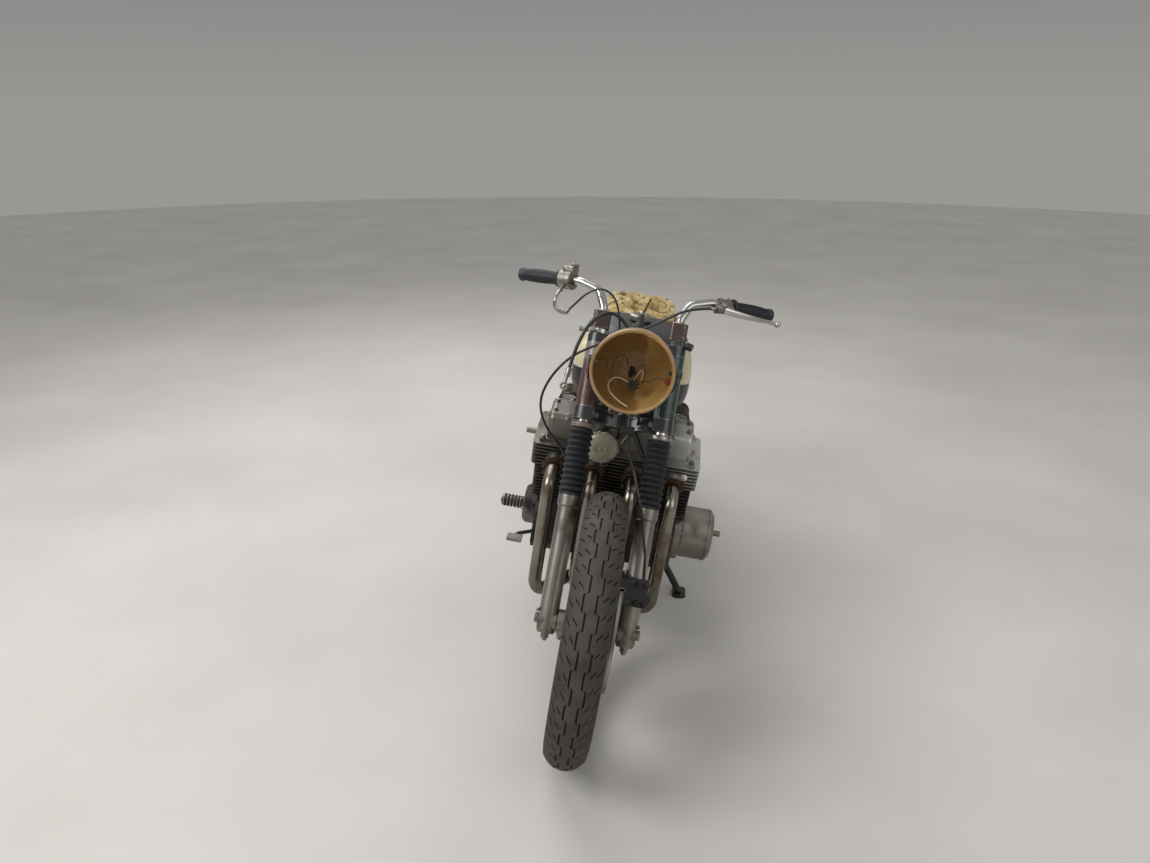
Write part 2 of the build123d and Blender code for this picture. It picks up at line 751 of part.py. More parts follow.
def speedo_drive():
    """The worm gear box between the hub and the right slider."""
    inner = -FRONT_HUB_HALF - GAP
    outer = -FORK_HALF_SPREAD + SLIDER_RADIUS + GAP
    body = cross_bar(outer, inner, 0, 0, 29)
    body += Pos((inner + outer) / 2, -22, -24) * Rot(40, 0, 0) * Cylinder(7, 34)
    body -= cross_bar(outer - 2, inner + 2, 0, 0, FRONT_AXLE_RADIUS + GAP)
    return FRONT_AXLE * body


def brake_caliper():
    """A single piston caliper astride the disc, on an arm from the left slider."""
    slot_low = DISC_X - DISC_THICKNESS / 2 - 2.0
    slot_high = DISC_X + DISC_THICKNESS / 2 + 2.0
    body = Pos(DISC_X + 22, CALIPER_BACK, CALIPER_UP) * Box(78, 54, 66)
    body = fillet(body.edges().filter_by(Axis.X), 14)
    body += Pos(DISC_X + 56, CALIPER_BACK, CALIPER_UP) * Rot(0, 90, 0) * Cylinder(25, 22)
    slot = cross_bar(slot_low, slot_high, 0, 0, DISC_RADIUS + 5)
    body -= slot
    body -= cross_bar(slot_high, 200, 0, 0, 96)
    body -= cross_bar(-10, slot_low, 0, 0, 96)
    arm = Pos(FORK_HALF_SPREAD, -SLIDER_RADIUS - 16 - GAP, CALIPER_UP) * Box(26, 32, 50)
    leg = Pos(FORK_HALF_SPREAD, 0, CALIPER_UP) * Cylinder(SLIDER_RADIUS + GAP, 120)
    body += arm
    body -= leg
    return FORK * body


def brake_pipe():
    """The steel pipe from the caliper up the front of the left leg."""
    points = [
        along_fork(FORK_HALF_SPREAD + 14, CALIPER_BACK, CALIPER_UP + 34.5),
        along_fork(FORK_HALF_SPREAD + 10, -60, 190),
        along_fork(FORK_HALF_SPREAD - 14, -50, 290),
        along_fork(46, -40, 390),
        along_fork(20, -34, 440),
        along_fork(20, -34, 474.6),
    ]
    return bent_tube(points, PIPE_RADIUS, [40, 60, 60, 30])


def brake_joint():
    """The junction block, hung by a strap under the lower yoke."""
    high = LOWER_YOKE - GAP
    block = Pos(14, -34, 484) * Box(34, 22, 18)
    strap = Pos(14, -26, high) * Box(20, 88, 6, align=(Align.CENTER, Align.MIN, Align.MAX))
    return FORK * (block + strap)


# Frame


def frame_spine():
    """The head tube, the spine behind it and the gusset between them."""
    bottom = LOWER_YOKE + LOWER_YOKE_THICKNESS + 1.5
    top = UPPER_YOKE - 1.5
    middle = Pos(0, YOKE_OFFSET, bottom)
    flat = (Align.CENTER, Align.CENTER, Align.MIN)
    head = FORK * middle * Cylinder(HEAD_TUBE_RADIUS, top - bottom, align=flat)
    start = along_fork(0, YOKE_OFFSET, bottom + 56)
    spine = bent_tube([start, SPINE_KNEE, SPINE_END], SPINE_RADIUS, [400])
    low = along_fork(0, YOKE_OFFSET + 18, bottom + 12)
    gusset = Polyline(
        (low[1], low[2]), (start[1] + 10, start[2]), (540, 806), (430, 784), close=True
    )
    solid = head + spine + side_plate(gusset, -14, 14)
    bore = FORK * middle * Pos(0, 0, -5) * Cylinder(STEM_RADIUS + 1.0, top - bottom + 10, align=flat)
    return solid - bore


def frame_cradle(side):
    """One side of the cradle: down tube, bottom rail and rear upright."""
    low = along_fork(0, YOKE_OFFSET + 40, LOWER_YOKE + LOWER_YOKE_THICKNESS + 12)
    points = [
        (side * 18, low[1], low[2]),
        (side * RAIL_X, 372, 590),
        (side * RAIL_X, 404, RAIL_Z),
        (side * RAIL_X, 790, RAIL_Z),
        (side * RAIL_X, SWING_Y, SWING_Z),
        (side * SEAT_RAIL_X, 951, 720),
    ]
    tube = bent_tube(points, FRAME_RADIUS, [120, 70, 60, 60])
    return tube - cross_bar(-200, 200, SWING_Y, SWING_Z, SWING_BOLT_RADIUS + GAP)


def seat_frame():
    """The rails that carry the seat, with their cross tubes and the shock mounts."""
    points = [
        (16, 893, 741),
        (SEAT_RAIL_X, 952, 727),
        (SEAT_RAIL_X, 1250, 716),
        (SEAT_RAIL_X - 18, 1455, 748),
    ]
    side = bent_tube(points, SEAT_RAIL_RADIUS, [50, 300])
    x = SEAT_RAIL_X
    bolt_y, bolt_z = SHOCK_TOP
    outline = Polyline(
        (bolt_y - 28, bolt_z + 48),
        (bolt_y + 32, bolt_z + 54),
        (bolt_y + 16, bolt_z - 18),
        (bolt_y - 14, bolt_z - 18),
        close=True,
    )
    side += side_plate(outline, x - 4, x + 4)
    side += cross_bar(x, SHOCK_X + 16, *SHOCK_TOP, SHOCK_PIN)
    frame = side + mirror(side, about=Plane.YZ)
    frame += cross_bar(-x, x, CROSS_TUBE_Y, CROSS_TUBE_Z, 9)
    frame += cross_bar(-x + 20, x - 20, GUARD_TUBE_Y, GUARD_TUBE_Z, 9)
    return frame


def swingarm():
    """The rear fork: a pivot tube, two arms and slotted ends for the axle."""
    points = [
        (74, SWING_Y + 14, SWING_Z),
        (74, SWING_Y + 90, SWING_Z),
        (SWING_X, SWING_Y + 262, REAR_TYRE_RADIUS),
        (SWING_X, WHEELBASE - 34, REAR_TYRE_RADIUS),
    ]
    arm = bent_tube(points, SWING_RADIUS, [90, 90])
    end = Pos(SWING_X, WHEELBASE, REAR_TYRE_RADIUS) * Box(12, 90, 44)
    arm += fillet(end.edges().filter_by(Axis.X), 14)
    arm += cross_bar(SWING_X, SHOCK_X + 16, *SHOCK_FOOT, SHOCK_PIN)
    both = arm + mirror(arm, about=Plane.YZ)
    both += cross_bar(-92, 92, SWING_Y, SWING_Z, 24)
    both += cross_bar(-84, 84, SWING_Y + 118, SWING_Z, 14)
    both -= cross_bar(-120, 120, SWING_Y, SWING_Z, SWING_BOLT_RADIUS + GAP)
    both -= cross_bar(-200, 200, WHEELBASE, REAR_TYRE_RADIUS, REAR_AXLE_RADIUS + GAP)
    return both


def swing_bolt():
    """The long pivot bolt through the rails and the swingarm."""
    end = RAIL_X + FRAME_RADIUS + 16
    bolt = cross_bar(-end, end, SWING_Y, SWING_Z, SWING_BOLT_RADIUS)
    for side in (1, -1):
        inner = side * (RAIL_X + FRAME_RADIUS + GAP)
        outer = side * end
        bolt += cross_bar(min(inner, outer), max(inner, outer), SWING_Y, SWING_Z, 13)
    return bolt


def rear_axle():
    """The rear spindle with nuts outside the arms and spacers inside them."""
    half = SWING_X + 30
    axle = Rot(0, 90, 0) * Cylinder(REAR_AXLE_RADIUS, 2 * half)
    axle += cross_bar(SWING_X + 6 + GAP, half, 0, 0, 15)
    axle += cross_bar(-half, -SWING_X - 6 - GAP, 0, 0, 15)
    axle += cross_bar(CHAIN_X + 6, SWING_X - 6 - GAP, 0, 0, 14)
    return REAR_AXLE * axle


def brake_plate():
    """The fixed plate that closes the rear drum, with its cam lever and torque lug."""
    radius = REAR_DRUM_RADIUS - DRUM_WALL - 1.5
    plate = cross_bar(-82, -64, 0, 0, radius)
    plate += cross_bar(-SWING_X + 6 + GAP, -82, 0, 0, 20)
    plate += Pos(-88, 0, -radius + 18) * Box(14, 26, 34)
    plate -= cross_bar(-200, 0, 0, 0, REAR_AXLE_RADIUS + GAP)
    return REAR_AXLE * plate


def rear_shocks():
    """Two spring and damper units between the swingarm and the seat frame."""
    top = Vector(SHOCK_X, *SHOCK_TOP)
    foot = Vector(SHOCK_X, *SHOCK_FOOT)
    length = (top - foot).length
    coil, valley = 27.0, 21.0
    turns = 9
    spring_low, spring_high = 62.0, length - 56.0
    pitch = (spring_high - spring_low) / turns
    points = [(0, 12), (9, 12), (16, 40), (24, 46), (24, spring_low)]
    for index in range(turns):
        low = spring_low + pitch * index
        points.append((valley, low + 1))
        points.append((coil, low + pitch * 0.35))
        points.append((coil, low + pitch * 0.7))
    points += [(valley, spring_high), (26, spring_high + 2), (26, length - 30)]
    points += [(12, length - 20), (9, length - 12), (0, length - 12)]
    frame = Plane(origin=foot, z_dir=top - foot, x_dir=(1, 0, 0))
    unit = frame * turned(points)
    for end in (top, foot):
        unit += cross_bar(SHOCK_X - 12, SHOCK_X + 12, end.Y, end.Z, 16)
    for end in (top, foot):
        unit -= cross_bar(SHOCK_X - 40, SHOCK_X + 40, end.Y, end.Z, SHOCK_PIN + GAP)
    return both_sides(unit)


# Engine


def crankcase():
    """The crankcase and gearbox as one block, with a deck square to the bores and a sump."""
    deck_front = over_crank(0, -96, BLOCK_BASE)
    deck_rear = over_crank(0, 92, BLOCK_BASE)
    outline = Polyline(
        (446, 290),
        (452, 385),
        (deck_front[1], deck_front[2]),
        (deck_rear[1], deck_rear[2]),
        (684, 420),
        (684, 262),
        (470, 262),
        close=True,
    )
    main = side_plate(outline, -CASE_HALF, CASE_HALF)
    wide = Polyline(
        (670, 425), (800, 425), (812, 400), (812, 330), (808, 300), (770, 262), (670, 262), close=True
    )
    rear = Polyline((760, 425), (796, 420), (816, 395), (816, 285), (790, 262), (760, 262), close=True)
    gearbox = side_plate(wide, -CLUTCH_FACE, CHAIN_X - CHAIN_WIDTH)
    gearbox += side_plate(rear, -88, CHAIN_X - CHAIN_WIDTH)
    sump = Pos(0, 600, 250) * Box(2 * SUMP_HALF, 240, 30)
    end = CLUTCH_CABLE[-1]
    stop = Pos(end[0], end[1] + GAP, end[2] - 9) * Box(
        14, 24, 36, align=(Align.CENTER, Align.MIN, Align.MIN)
    )
    return main + gearbox + sump + stop


def finned(half, depth, base, top, core_inset):
    """A block with flat cooling fins, in the engine's own frame."""
    flat = (Align.CENTER, Align.CENTER, Align.MIN)
    core = Pos(0, 0, base) * Box(
        2 * (half - core_inset), depth - 2 * core_inset, top - base, align=flat
    )
    count = int((top - base - FIN_THICKNESS) / FIN_PITCH)
    for index in range(count + 1):
        outline = RectangleRounded(2 * half, depth, 12)
        core += Pos(0, 0, base + FIN_PITCH * index) * extrude(outline, FIN_THICKNESS)
    return core


def cylinder_block():
    """Four finned cylinders cast side by side."""
    block = finned(BLOCK_HALF, BLOCK_DEPTH, BLOCK_BASE + GAP, BLOCK_TOP - GAP, 14)
    return ENGINE * block


def port_line(x):
    """The middle line of an exhaust stub, from inside the head to its mouth."""
    start = over_crank(x, -20, BLOCK_TOP + 40)
    return Vector(*start), Vector(*over_crank(x, -HEAD_DEPTH / 2 - 14, BLOCK_TOP + 22))


def inlet_line(x, start, end):
    """A stretch of the middle line of an inlet, by its distances behind the head."""
    line = [over_crank(x, HEAD_DEPTH / 2 + d, BLOCK_TOP + 43 + d / 20) for d in (start, end)]
    return Vector(*line[0]), Vector(*line[1])


def cylinder_head():
    """The finned head with four exhaust and four inlet stubs."""
    head = finned(HEAD_HALF, HEAD_DEPTH, BLOCK_TOP, HEAD_TOP - GAP, 16)
    place = ENGINE * head
    for x in PORTS:
        start, mouth = port_line(x)
        place += rod(tuple(start), tuple(mouth), 26)
        start, mouth = inlet_line(x, -60, 16)
        place += rod(tuple(start), tuple(mouth), 21)
    return place


def rocker_cover():
    """The camshaft cover: a long box with rounded edges and low ribs."""
    flat = (Align.CENTER, Align.CENTER, Align.MIN)
    cover = Pos(0, 0, HEAD_TOP) * Box(
        2 * ROCKER_HALF, ROCKER_DEPTH, ROCKER_TOP - HEAD_TOP, align=flat
    )
    cover = fillet(cover.edges().filter_by(Axis.X).group_by(Axis.Z)[-1], 26)
    cover = fillet(cover.edges().filter_by(Axis.Z), 14)
    for x in (-150, -90, -30, 30, 90, 150):
        cap = Pos(x, -ROCKER_DEPTH / 2 + 26, ROCKER_TOP - 28) * Cylinder(17, 30)
        cover += cap
    return ENGINE * cover


def drum_cover():
    """The alternator's round cover on the left end of the crank."""
    points = [
        (CASE_HALF + GAP, 0),
        (CASE_HALF + GAP, DRUM_RADIUS + 10),
        (CASE_HALF + 24, DRUM_RADIUS + 10),
        (CASE_HALF + 30, DRUM_RADIUS),
        (DRUM_END - 10, DRUM_RADIUS),
        (DRUM_END, DRUM_RADIUS - 12),
        (DRUM_END, 0),
    ]
    return Pos(0, CRANK_Y, CRANK_Z) * spun(Polyline(*points, close=True))


def points_cover():
    """The round contact breaker cover on the right end of the crank."""
    points = [
        (-CASE_HALF - GAP, 0),
        (-CASE_HALF - GAP, POINTS_RADIUS),
        (POINTS_END + 10, POINTS_RADIUS),
        (POINTS_END, POINTS_RADIUS - 8),
        (POINTS_END, 0),
    ]
    return Pos(0, CRANK_Y, CRANK_Z) * spun(Polyline(*points, close=True))


def clutch_cover():
    """The round clutch cover on the right of the gearbox."""
    face = -CLUTCH_FACE - GAP
    points = [(face, 0), (face, 68), (face - 40, 68), (face - 54, 54), (face - 54, 0)]
    return Pos(0, 752, 366) * spun(Polyline(*points, close=True))


def sprocket_cover():
    """The cover outside the front sprocket, open at the back for the chain."""
    corners = [(690, 268), (690, 412), (760, 416), (824, 396), (818, 336), (774, 268)]
    outline = Polyline(*corners, close=True)
    cover = side_plate(outline, CHAIN_X + 10, CHAIN_X + 44)
    cover = fillet(cover.edges().filter_by(Axis.X), 14)
    wall = Polyline((691, 290), (691, 396), (711, 396), (711, 290), close=True)
    return cover + side_plate(wall, CHAIN_X - CHAIN_WIDTH + GAP, CHAIN_X + 11)


def carburettors():
    """Four carburettors in a row behind the head."""
    made = []
    for x in PORTS:
        start, end = inlet_line(x, 16 + GAP, 96)
        body = rod(tuple(start), tuple(end), 24)
        middle = over_crank(x, HEAD_DEPTH / 2 + 56, BLOCK_TOP + 46)
        body += Pos(middle[0], middle[1], middle[2] - 72) * Cylinder(
            25, 66, align=(Align.CENTER, Align.CENTER, Align.MIN)
        )
        body += Pos(middle[0], middle[1], middle[2]) * Cylinder(
            21, 52, align=(Align.CENTER, Align.CENTER, Align.MIN)
        )
        made.append(body)
    joined = made[0] + made[1] + made[2] + made[3]
    low = over_crank(0, HEAD_DEPTH / 2 + 70, BLOCK_TOP + 66)
    return joined + cross_bar(PORTS[0], PORTS[-1], low[1], low[2], 6)


def air_filters():
    """A cone filter on the mouth of each carburettor."""
    made = []
    for x in PORTS:
        start, end = inlet_line(x, 96 + GAP, 178)
        length = (end - start).length
        points = [(0, 0), (27, 0), (27, 12), (38, 14), (33, length - 8), (25, length), (0, length)]
        made.append(Plane(origin=start, z_dir=end - start) * turned(points))
    return group(*made)


def header(x, slot_x, slot_z):
    """One exhaust pipe from its port down and back to its place in the collector."""
    start, mouth = port_line(x)
    out = (mouth - start).normalized()
    port = mouth + out * GAP
    knee = port + out * ((HEADER_Y - port.Y) / out.Y)
    points = [
        tuple(port),
        tuple(knee),
        (x, HEADER_Y + 2, slot_z + 4),
        (slot_x, COLLECTOR_Y - 70, slot_z),
        (slot_x, COLLECTOR_Y, slot_z),
    ]
    return bent_tube(points, HEADER_RADIUS, [40, 58, 40])


def exhaust_headers():
    """Four pipes: the outer two run low and the inner two above them."""
    apart = HEADER_RADIUS + 0.2
    table = [
        (PORTS[0], COLLECTOR_X - apart, HEADER_LOW_Z),
        (PORTS[1], COLLECTOR_X - apart, HEADER_HIGH_Z),
        (PORTS[2], COLLECTOR_X + apart, HEADER_HIGH_Z),
        (PORTS[3], COLLECTOR_X + apart, HEADER_LOW_Z),
    ]
    return group(*[header(x, slot_x, slot_z) for x, slot_x, slot_z in table])


def exhaust_collector():
    """The box where the four pipes meet, and the pipe to the silencer."""
    middle = (HEADER_LOW_Z + HEADER_HIGH_Z) / 2
    box = Pos(COLLECTOR_X, COLLECTOR_Y + GAP, middle) * Rot(-90, 0, 0)
    square = RectangleRounded(84, 84, 20)
    body = box * loft([square, Pos(0, 0, 110) * Circle(27)])
    start, end = Vector(*SILENCER_START), Vector(*SILENCER_END)
    knee = start - (end - start).normalized() * 70
    points = [
        (COLLECTOR_X, COLLECTOR_Y + 104, middle),
        (COLLECTOR_X, COLLECTOR_Y + 160, middle),
        tuple(knee),
        SILENCER_START,
    ]
    return body + bent_tube(points, 25.0, [80, 80])


def silencer():
    """A plain megaphone on the right side."""
    end = Vector(*SILENCER_END)
    start = Vector(*SILENCER_START) + (end - Vector(*SILENCER_START)).normalized() * GAP
    length = (end - start).length
    points = [
        (20, 0),
        (27, 0),
        (SILENCER_RADIUS, 70),
        (SILENCER_RADIUS, length - 60),
        (30, length),
        (24, length),
        (24, length - 40),
        (20, length - 40),
    ]
    return Plane(origin=start, z_dir=end - start) * turned(points)


# Tank, seat and rear end


def tank_form(inset):
    """The tank's side, plan and front outlines in one, with all its walls moved in by an inset."""
    side = [
        Line((398, 792), (416, 868)),
        ThreePointArc((416, 868), (480, 930), TANK_CREST),
        Line(TANK_CREST, TANK_REAR_CREST),
        ThreePointArc(TANK_REAR_CREST, (820, 905), (900, 834)),
        Line((900, 834), (908, 786)),
        Line((908, 786), (700, 752)),
        Line((700, 752), (430, 764)),
        Line((430, 764), (398, 792)),
    ]
    plan = [
        Line((-62, 390), (62, 390)),
        ThreePointArc((62, 390), (132, 432), (164, 540)),
        Line((164, 540), (170, 640)),
        ThreePointArc((170, 640), (150, 780), (96, 915)),
        Line((96, 915), (-96, 915)),
        ThreePointArc((-96, 915), (-150, 780), (-170, 640)),
        Line((-170, 640), (-164, 540)),
        ThreePointArc((-164, 540), (-132, 432), (-62, 390)),
    ]
    front = [
        Line((-150, 740), (150, 740)),
        ThreePointArc((150, 740), (176, 830), (132, 915)),
        ThreePointArc((132, 915), (0, 956), (-132, 915)),
        ThreePointArc((-132, 915), (-176, 830), (-150, 740)),
    ]
    tunnel = Polyline((380, 700), (380, 848), (640, 832), (960, 768), (960, 700), close=True)
    faces = [make_face(side), make_face(plan), make_face(front)]
    hollow = make_face(tunnel)
    if inset:
        faces = [offset(face, amount=-inset, kind=Kind.ARC) for face in faces]
        hollow = offset(hollow, amount=inset, kind=Kind.ARC)
    side_face, plan_face, front_face = faces
    body = Pos(-175, 0, 0) * extrude(Plane.YZ * side_face, 350)
    body &= Pos(0, 0, 700) * extrude(plan_face, 300)
    body &= Pos(0, 1000, 0) * extrude(Plane.XZ * front_face, 700)
    half = TUNNEL_HALF + inset
    return body - Pos(-half, 0, 0) * extrude(Plane.YZ * hollow, 2 * half)


def fuel_tank():
    """A long sheet steel tank over the spine, sealed and hollow."""
    return tank_form(0) - tank_form(TANK_WALL)


def tank_rubbers():
    """Two rubber pads each side of the spine, on which the tank's tunnel sits."""
    made = []
    for y, z in ((452, 806), (830, 754)):
        pad = cross_bar(SPINE_RADIUS - 3, TUNNEL_HALF - GAP, y, z, 11)
        made.append(pad)
        made.append(mirror(pad, about=Plane.YZ))
    return group(*made)


def fuel_cap():
    """The round filler cap on the tank's crest."""
    points = [(0, 0), (30, 0), (32, 4), (32, 14), (26, 19), (0, 20)]
    fall = TANK_CREST[1] - TANK_REAR_CREST[1]
    slope = math.degrees(math.atan2(fall, TANK_REAR_CREST[0] - TANK_CREST[0]))
    return Pos(0, CAP_Y, TANK_CREST[1] - CAP_DROP) * Rot(-slope, 0, 0) * turned(points)


def seat_pan():
    """A thin steel pan on the seat rails."""
    outline = [
        Line((-112, SEAT_FRONT_Y), (112, SEAT_FRONT_Y)),
        Line((112, SEAT_FRONT_Y), (138, 1100)),
        Line((138, 1100), (138, 1360)),
        ThreePointArc((138, 1360), (0, SEAT_REAR_Y), (-138, 1360)),
        Line((-138, 1360), (-138, 1100)),
        Line((-138, 1100), (-112, SEAT_FRONT_Y)),
    ]
    pan = plan_plate(outline, PAN_TOP - 4, PAN_TOP)
    for x, y, low in ((100, 1010, 722), (100, 1200, 716), (88, 1392, 737)):
        foot = rod((x, y, low), (x, y, PAN_TOP - 4), 11)
        pan += foot + mirror(foot, about=Plane.YZ)
    return pan


def seat_foam():
    """The bare foam block on the pan, kicked up at its tail."""
    side = [
        Line((SEAT_FRONT_Y, PAN_TOP + GAP), (SEAT_REAR_Y, PAN_TOP + GAP)),
        Line((SEAT_REAR_Y, PAN_TOP + GAP), (SEAT_REAR_Y, 858)),
        ThreePointArc((SEAT_REAR_Y, 858), (1405, 876), (1360, 866)),
        ThreePointArc((1360, 866), (1160, 826), (980, 838)),
        Line((980, 838), (SEAT_FRONT_Y, 832)),
        Line((SEAT_FRONT_Y, 832), (SEAT_FRONT_Y, PAN_TOP + GAP)),
    ]
    body = side_plate(side, -140, 140)
    plan = [
        Line((-108, SEAT_FRONT_Y), (108, SEAT_FRONT_Y)),
        Line((108, SEAT_FRONT_Y), (134, 1100)),
        Line((134, 1100), (134, 1356)),
        ThreePointArc((134, 1356), (0, SEAT_REAR_Y - 4), (-134, 1356)),
        Line((-134, 1356), (-134, 1100)),
        Line((-134, 1100), (-108, SEAT_FRONT_Y)),
    ]
    return body & plan_plate(plan, 700, 900)


def rear_mudguard():
    """A rolled steel guard over the rear tyre."""
    inner = REAR_TYRE_RADIUS + 26
    outline = [
        ThreePointArc((-64, inner - 26), (0, inner + 2), (64, inner - 26)),
        Line((64, inner - 26), (66, inner - 26)),
        ThreePointArc((66, inner - 26), (0, inner + 4), (-66, inner - 26)),
        Line((-66, inner - 26), (-64, inner - 26)),
    ]
    arc = revolve(Plane.XZ * make_face(outline), axis=Axis.X, revolution_arc=96)
    guard = REAR_AXLE * Rot(-64, 0, 0) * arc
    top = REAR_TYRE_RADIUS + inner
    stay = Pos(0, GUARD_TUBE_Y, (top + GUARD_TUBE_Z) / 2) * Box(30, 8, GUARD_TUBE_Z - top)
    return guard + stay - cross_bar(-40, 40, GUARD_TUBE_Y, GUARD_TUBE_Z, 9 + GAP)


def tail_lamp():
    """A small round lamp on the back of the seat frame."""
    points = [(0, 0), (34, 0), (36, 10), (36, 30), (30, 40), (0, 44)]
    back = GUARD_TUBE_Y + 9 + GAP
    return Pos(0, back, GUARD_TUBE_Z) * Rot(-90, 0, 0) * turned(points)


def battery_box():
    """The box under the seat for the battery and the electrics."""
    top = CROSS_TUBE_Z - 9 - GAP
    box = Box(130, 126, 146, align=(Align.CENTER, Align.MAX, Align.MAX))
    return Pos(0, CROSS_TUBE_Y + 8, top) * fillet(box.edges().filter_by(Axis.Z), 8)


def footpegs():
    """Two pegs: a hanger plate on the rail, a cranked steel bar and a ribbed rubber."""
    plate = Polyline(
        (PEG_Y - 19, RAIL_Z - 14),
        (PEG_Y - 19, RAIL_Z + 26),
        (PEG_Y + 24, RAIL_Z + 26),
        (PEG_Y + 24, RAIL_Z - 14),
        close=True,
    )
    inner = RAIL_X + FRAME_RADIUS + GAP
    route = [
        (inner + 4, PEG_Y, RAIL_Z + 10),
        (160, PEG_Y, RAIL_Z + 10),
        (206, PEG_Y, PEG_Z),
        (338, PEG_Y, PEG_Z),
    ]
    bar = side_plate(plate, inner, inner + 8) + bent_tube(route, 8.0, [20, 20])
    start, end, ribs = 224.0, 335.0, 9
    pitch = (end - start) / ribs
    for index in range(ribs):
        low = start + pitch * index
        bar += cross_bar(low, low + pitch * 0.7, PEG_Y, PEG_Z, 19)
        bar += cross_bar(low + pitch * 0.6, low + pitch, PEG_Y, PEG_Z, 16)
    return both_sides(bar)


def gear_lever():
    """The change shaft, its arm and the toe rubber, left side."""
    shaft = cross_bar(CHAIN_X + 44 + GAP, 348, 742, 300, 7)
    arm = rod((338, 742, 300), (338, 638, 326), 6)
    toe = cross_bar(329, 358, 640, 325.5, 9)
    return shaft + arm + toe


def brake_pedal():
    """The rear brake pedal, right side."""
    x = -(RAIL_X + FRAME_RADIUS + GAP)
    pivot = cross_bar(x - 26, x, 758, 240, 10)
    points = [(x - 18, 758, 240), (x - 40, 690, 214), (-262, 600, 222), (-262, 560, 230)]
    arm = bent_tube(points, 6.5, [30, 30])
    return pivot + arm + Pos(-262, 552, 233) * Box(46, 34, 10)


def kickstarter():
    """The kick lever, folded up along the right side."""
    shaft = cross_bar(-226, -CLUTCH_FACE - GAP, 806, 304, 9)
    arm = bent_tube([(-218, 806, 304), (-222, 840, 420), (-226, 836, 480)], 8, [90])
    pedal = cross_bar(-300, -220, 836, 480, 10)
    return shaft + arm + pedal


def horn():
    """A disc horn between the down tubes, under the head."""
    points = [(0, 0), (24, 0), (45, 10), (45, 14), (30, 18), (26, 30), (0, 32)]
    facing = Plane((-45, 300, 672), z_dir=(0, 1, 0.1), x_dir=(1, 0, 0)).location
    strap = Pos(-62, 341, 676) * Box(18, 34, 22)
    return facing * turned(points) + strap


def engine_mounts():
    """Four lugs between the crankcase and the bottom rails."""
    made = []
    for y in (520, 668):
        lug = Pos(RAIL_X, y, 262 - GAP) * Box(22, 30, 40, align=(Align.CENTER, Align.CENTER, Align.MAX))
        lug -= rod((RAIL_X, 400, RAIL_Z), (RAIL_X, 780, RAIL_Z), FRAME_RADIUS)
        made.append(lug)
        made.append(mirror(lug, about=Plane.YZ))
    return group(*made)


# Cables and the loose hose. Each route is a list of points; the corners are rounded as far as they go


def corner_radii(points):
    """The largest arc that fits each corner: 0.45 of the shorter run over the tangent of half the turn."""
    radii = []
    for before, corner, after in zip(points, points[1:], points[2:]):
        one = Vector(*corner) - Vector(*before)
        two = Vector(*after) - Vector(*corner)
        half_turn = math.radians(one.get_angle(two)) / 2
        radii.append(0.45 * min(one.length, two.length) / math.tan(half_turn))
    return radii


CLUTCH_CABLE = [
    (181.5, 378, 1070),
    (116, 338, 1068),
    (68, 300, 1046),
    (20, 264, 1020),
    (-43, 250, 988),
    (-101, 250, 958),
    (-159, 250, 918),
    (-203, 254, 848),
    (-218, 268, 780),
    (-198, 296, 712),
    (-154, 326, 652),
    (-114, 340, 596),
    (-88, 358, 534),
    (-86, 374, 450),
    (-86, 385, 364),
    (-87, 400, 290),
    (-88, 440, 244),
    (-88.5, 520, 240),
    (-88.5, 600, 241),
    (-89, 668, 240),
]

THROTTLE_CABLE = [
    (-216, 376, 1050),
    (-223, 354, 1038),
    (-222, 350, 1010),
    (-194, 350, 998),
    (-168, 345, 1032),
    (-142, 338, 1066),
    (-108, 332, 1084),
    (-72, 326, 1068),
    (-52, 318, 1020),
    (-44, 310, 960),
    (-44, 306, 900),
    (-48, 330, 846),
    (-52, 376, 790),
    (-56, 436, 744),
    (-56, 520, 728),
    (-56.5, 685, 714),
    (-56.5, 685, 669.8),
]

BRAKE_HOSE = [
    along_fork(14, -34, 493.4),
    along_fork(14, -34, 528),
    (10, 236, 862),
    (4, 262, 905),
    (-4, 283, 943),
    (-15, 297, 978),
    (-32, 304, 1008),
    (-56, 302, 1029),
    (-84, 291, 1035),
    (-108, 272, 1023),
    (-126, 250, 1000),
    (-138, 229, 969),
    (-146, 212, 936),
    (-150, 202, 906),
]


def cable(points, radius):
    """A cable or hose along its route."""
    return bent_tube(points, radius, corner_radii(points))


def hose_fitting():
    """The crimped ferrule and the banjo eye on the loose end of the hose."""
    end, before = Vector(*BRAKE_HOSE[-1]), Vector(*BRAKE_HOSE[-2])
    away = (end - before).normalized()
    start = end + away * GAP
    ferrule = rod(tuple(start), tuple(start + away * 22), 7.0)
    ferrule += rod(tuple(start + away * 22), tuple(start + away * 40), 4.0)
    facing = Plane(origin=start + away * 46, z_dir=Vector(0.3, -0.9, 0.3))
    return ferrule + facing * Cylinder(9.5, 9) - facing * Cylinder(5.1, 20)


# Side stand


def stand_axis():
    """The stand's hinge line: square to the leg as it stands, so that it folds along the rail."""
    foot = stood_up(STAND_FOOT[0], STAND_FOOT[1], 0)
    across = foot[0] - STAND_PIVOT[0]
    down = STAND_PIVOT[2] - foot[2]
    length = math.hypot(across, down)
    return (down / length, 0, across / length)


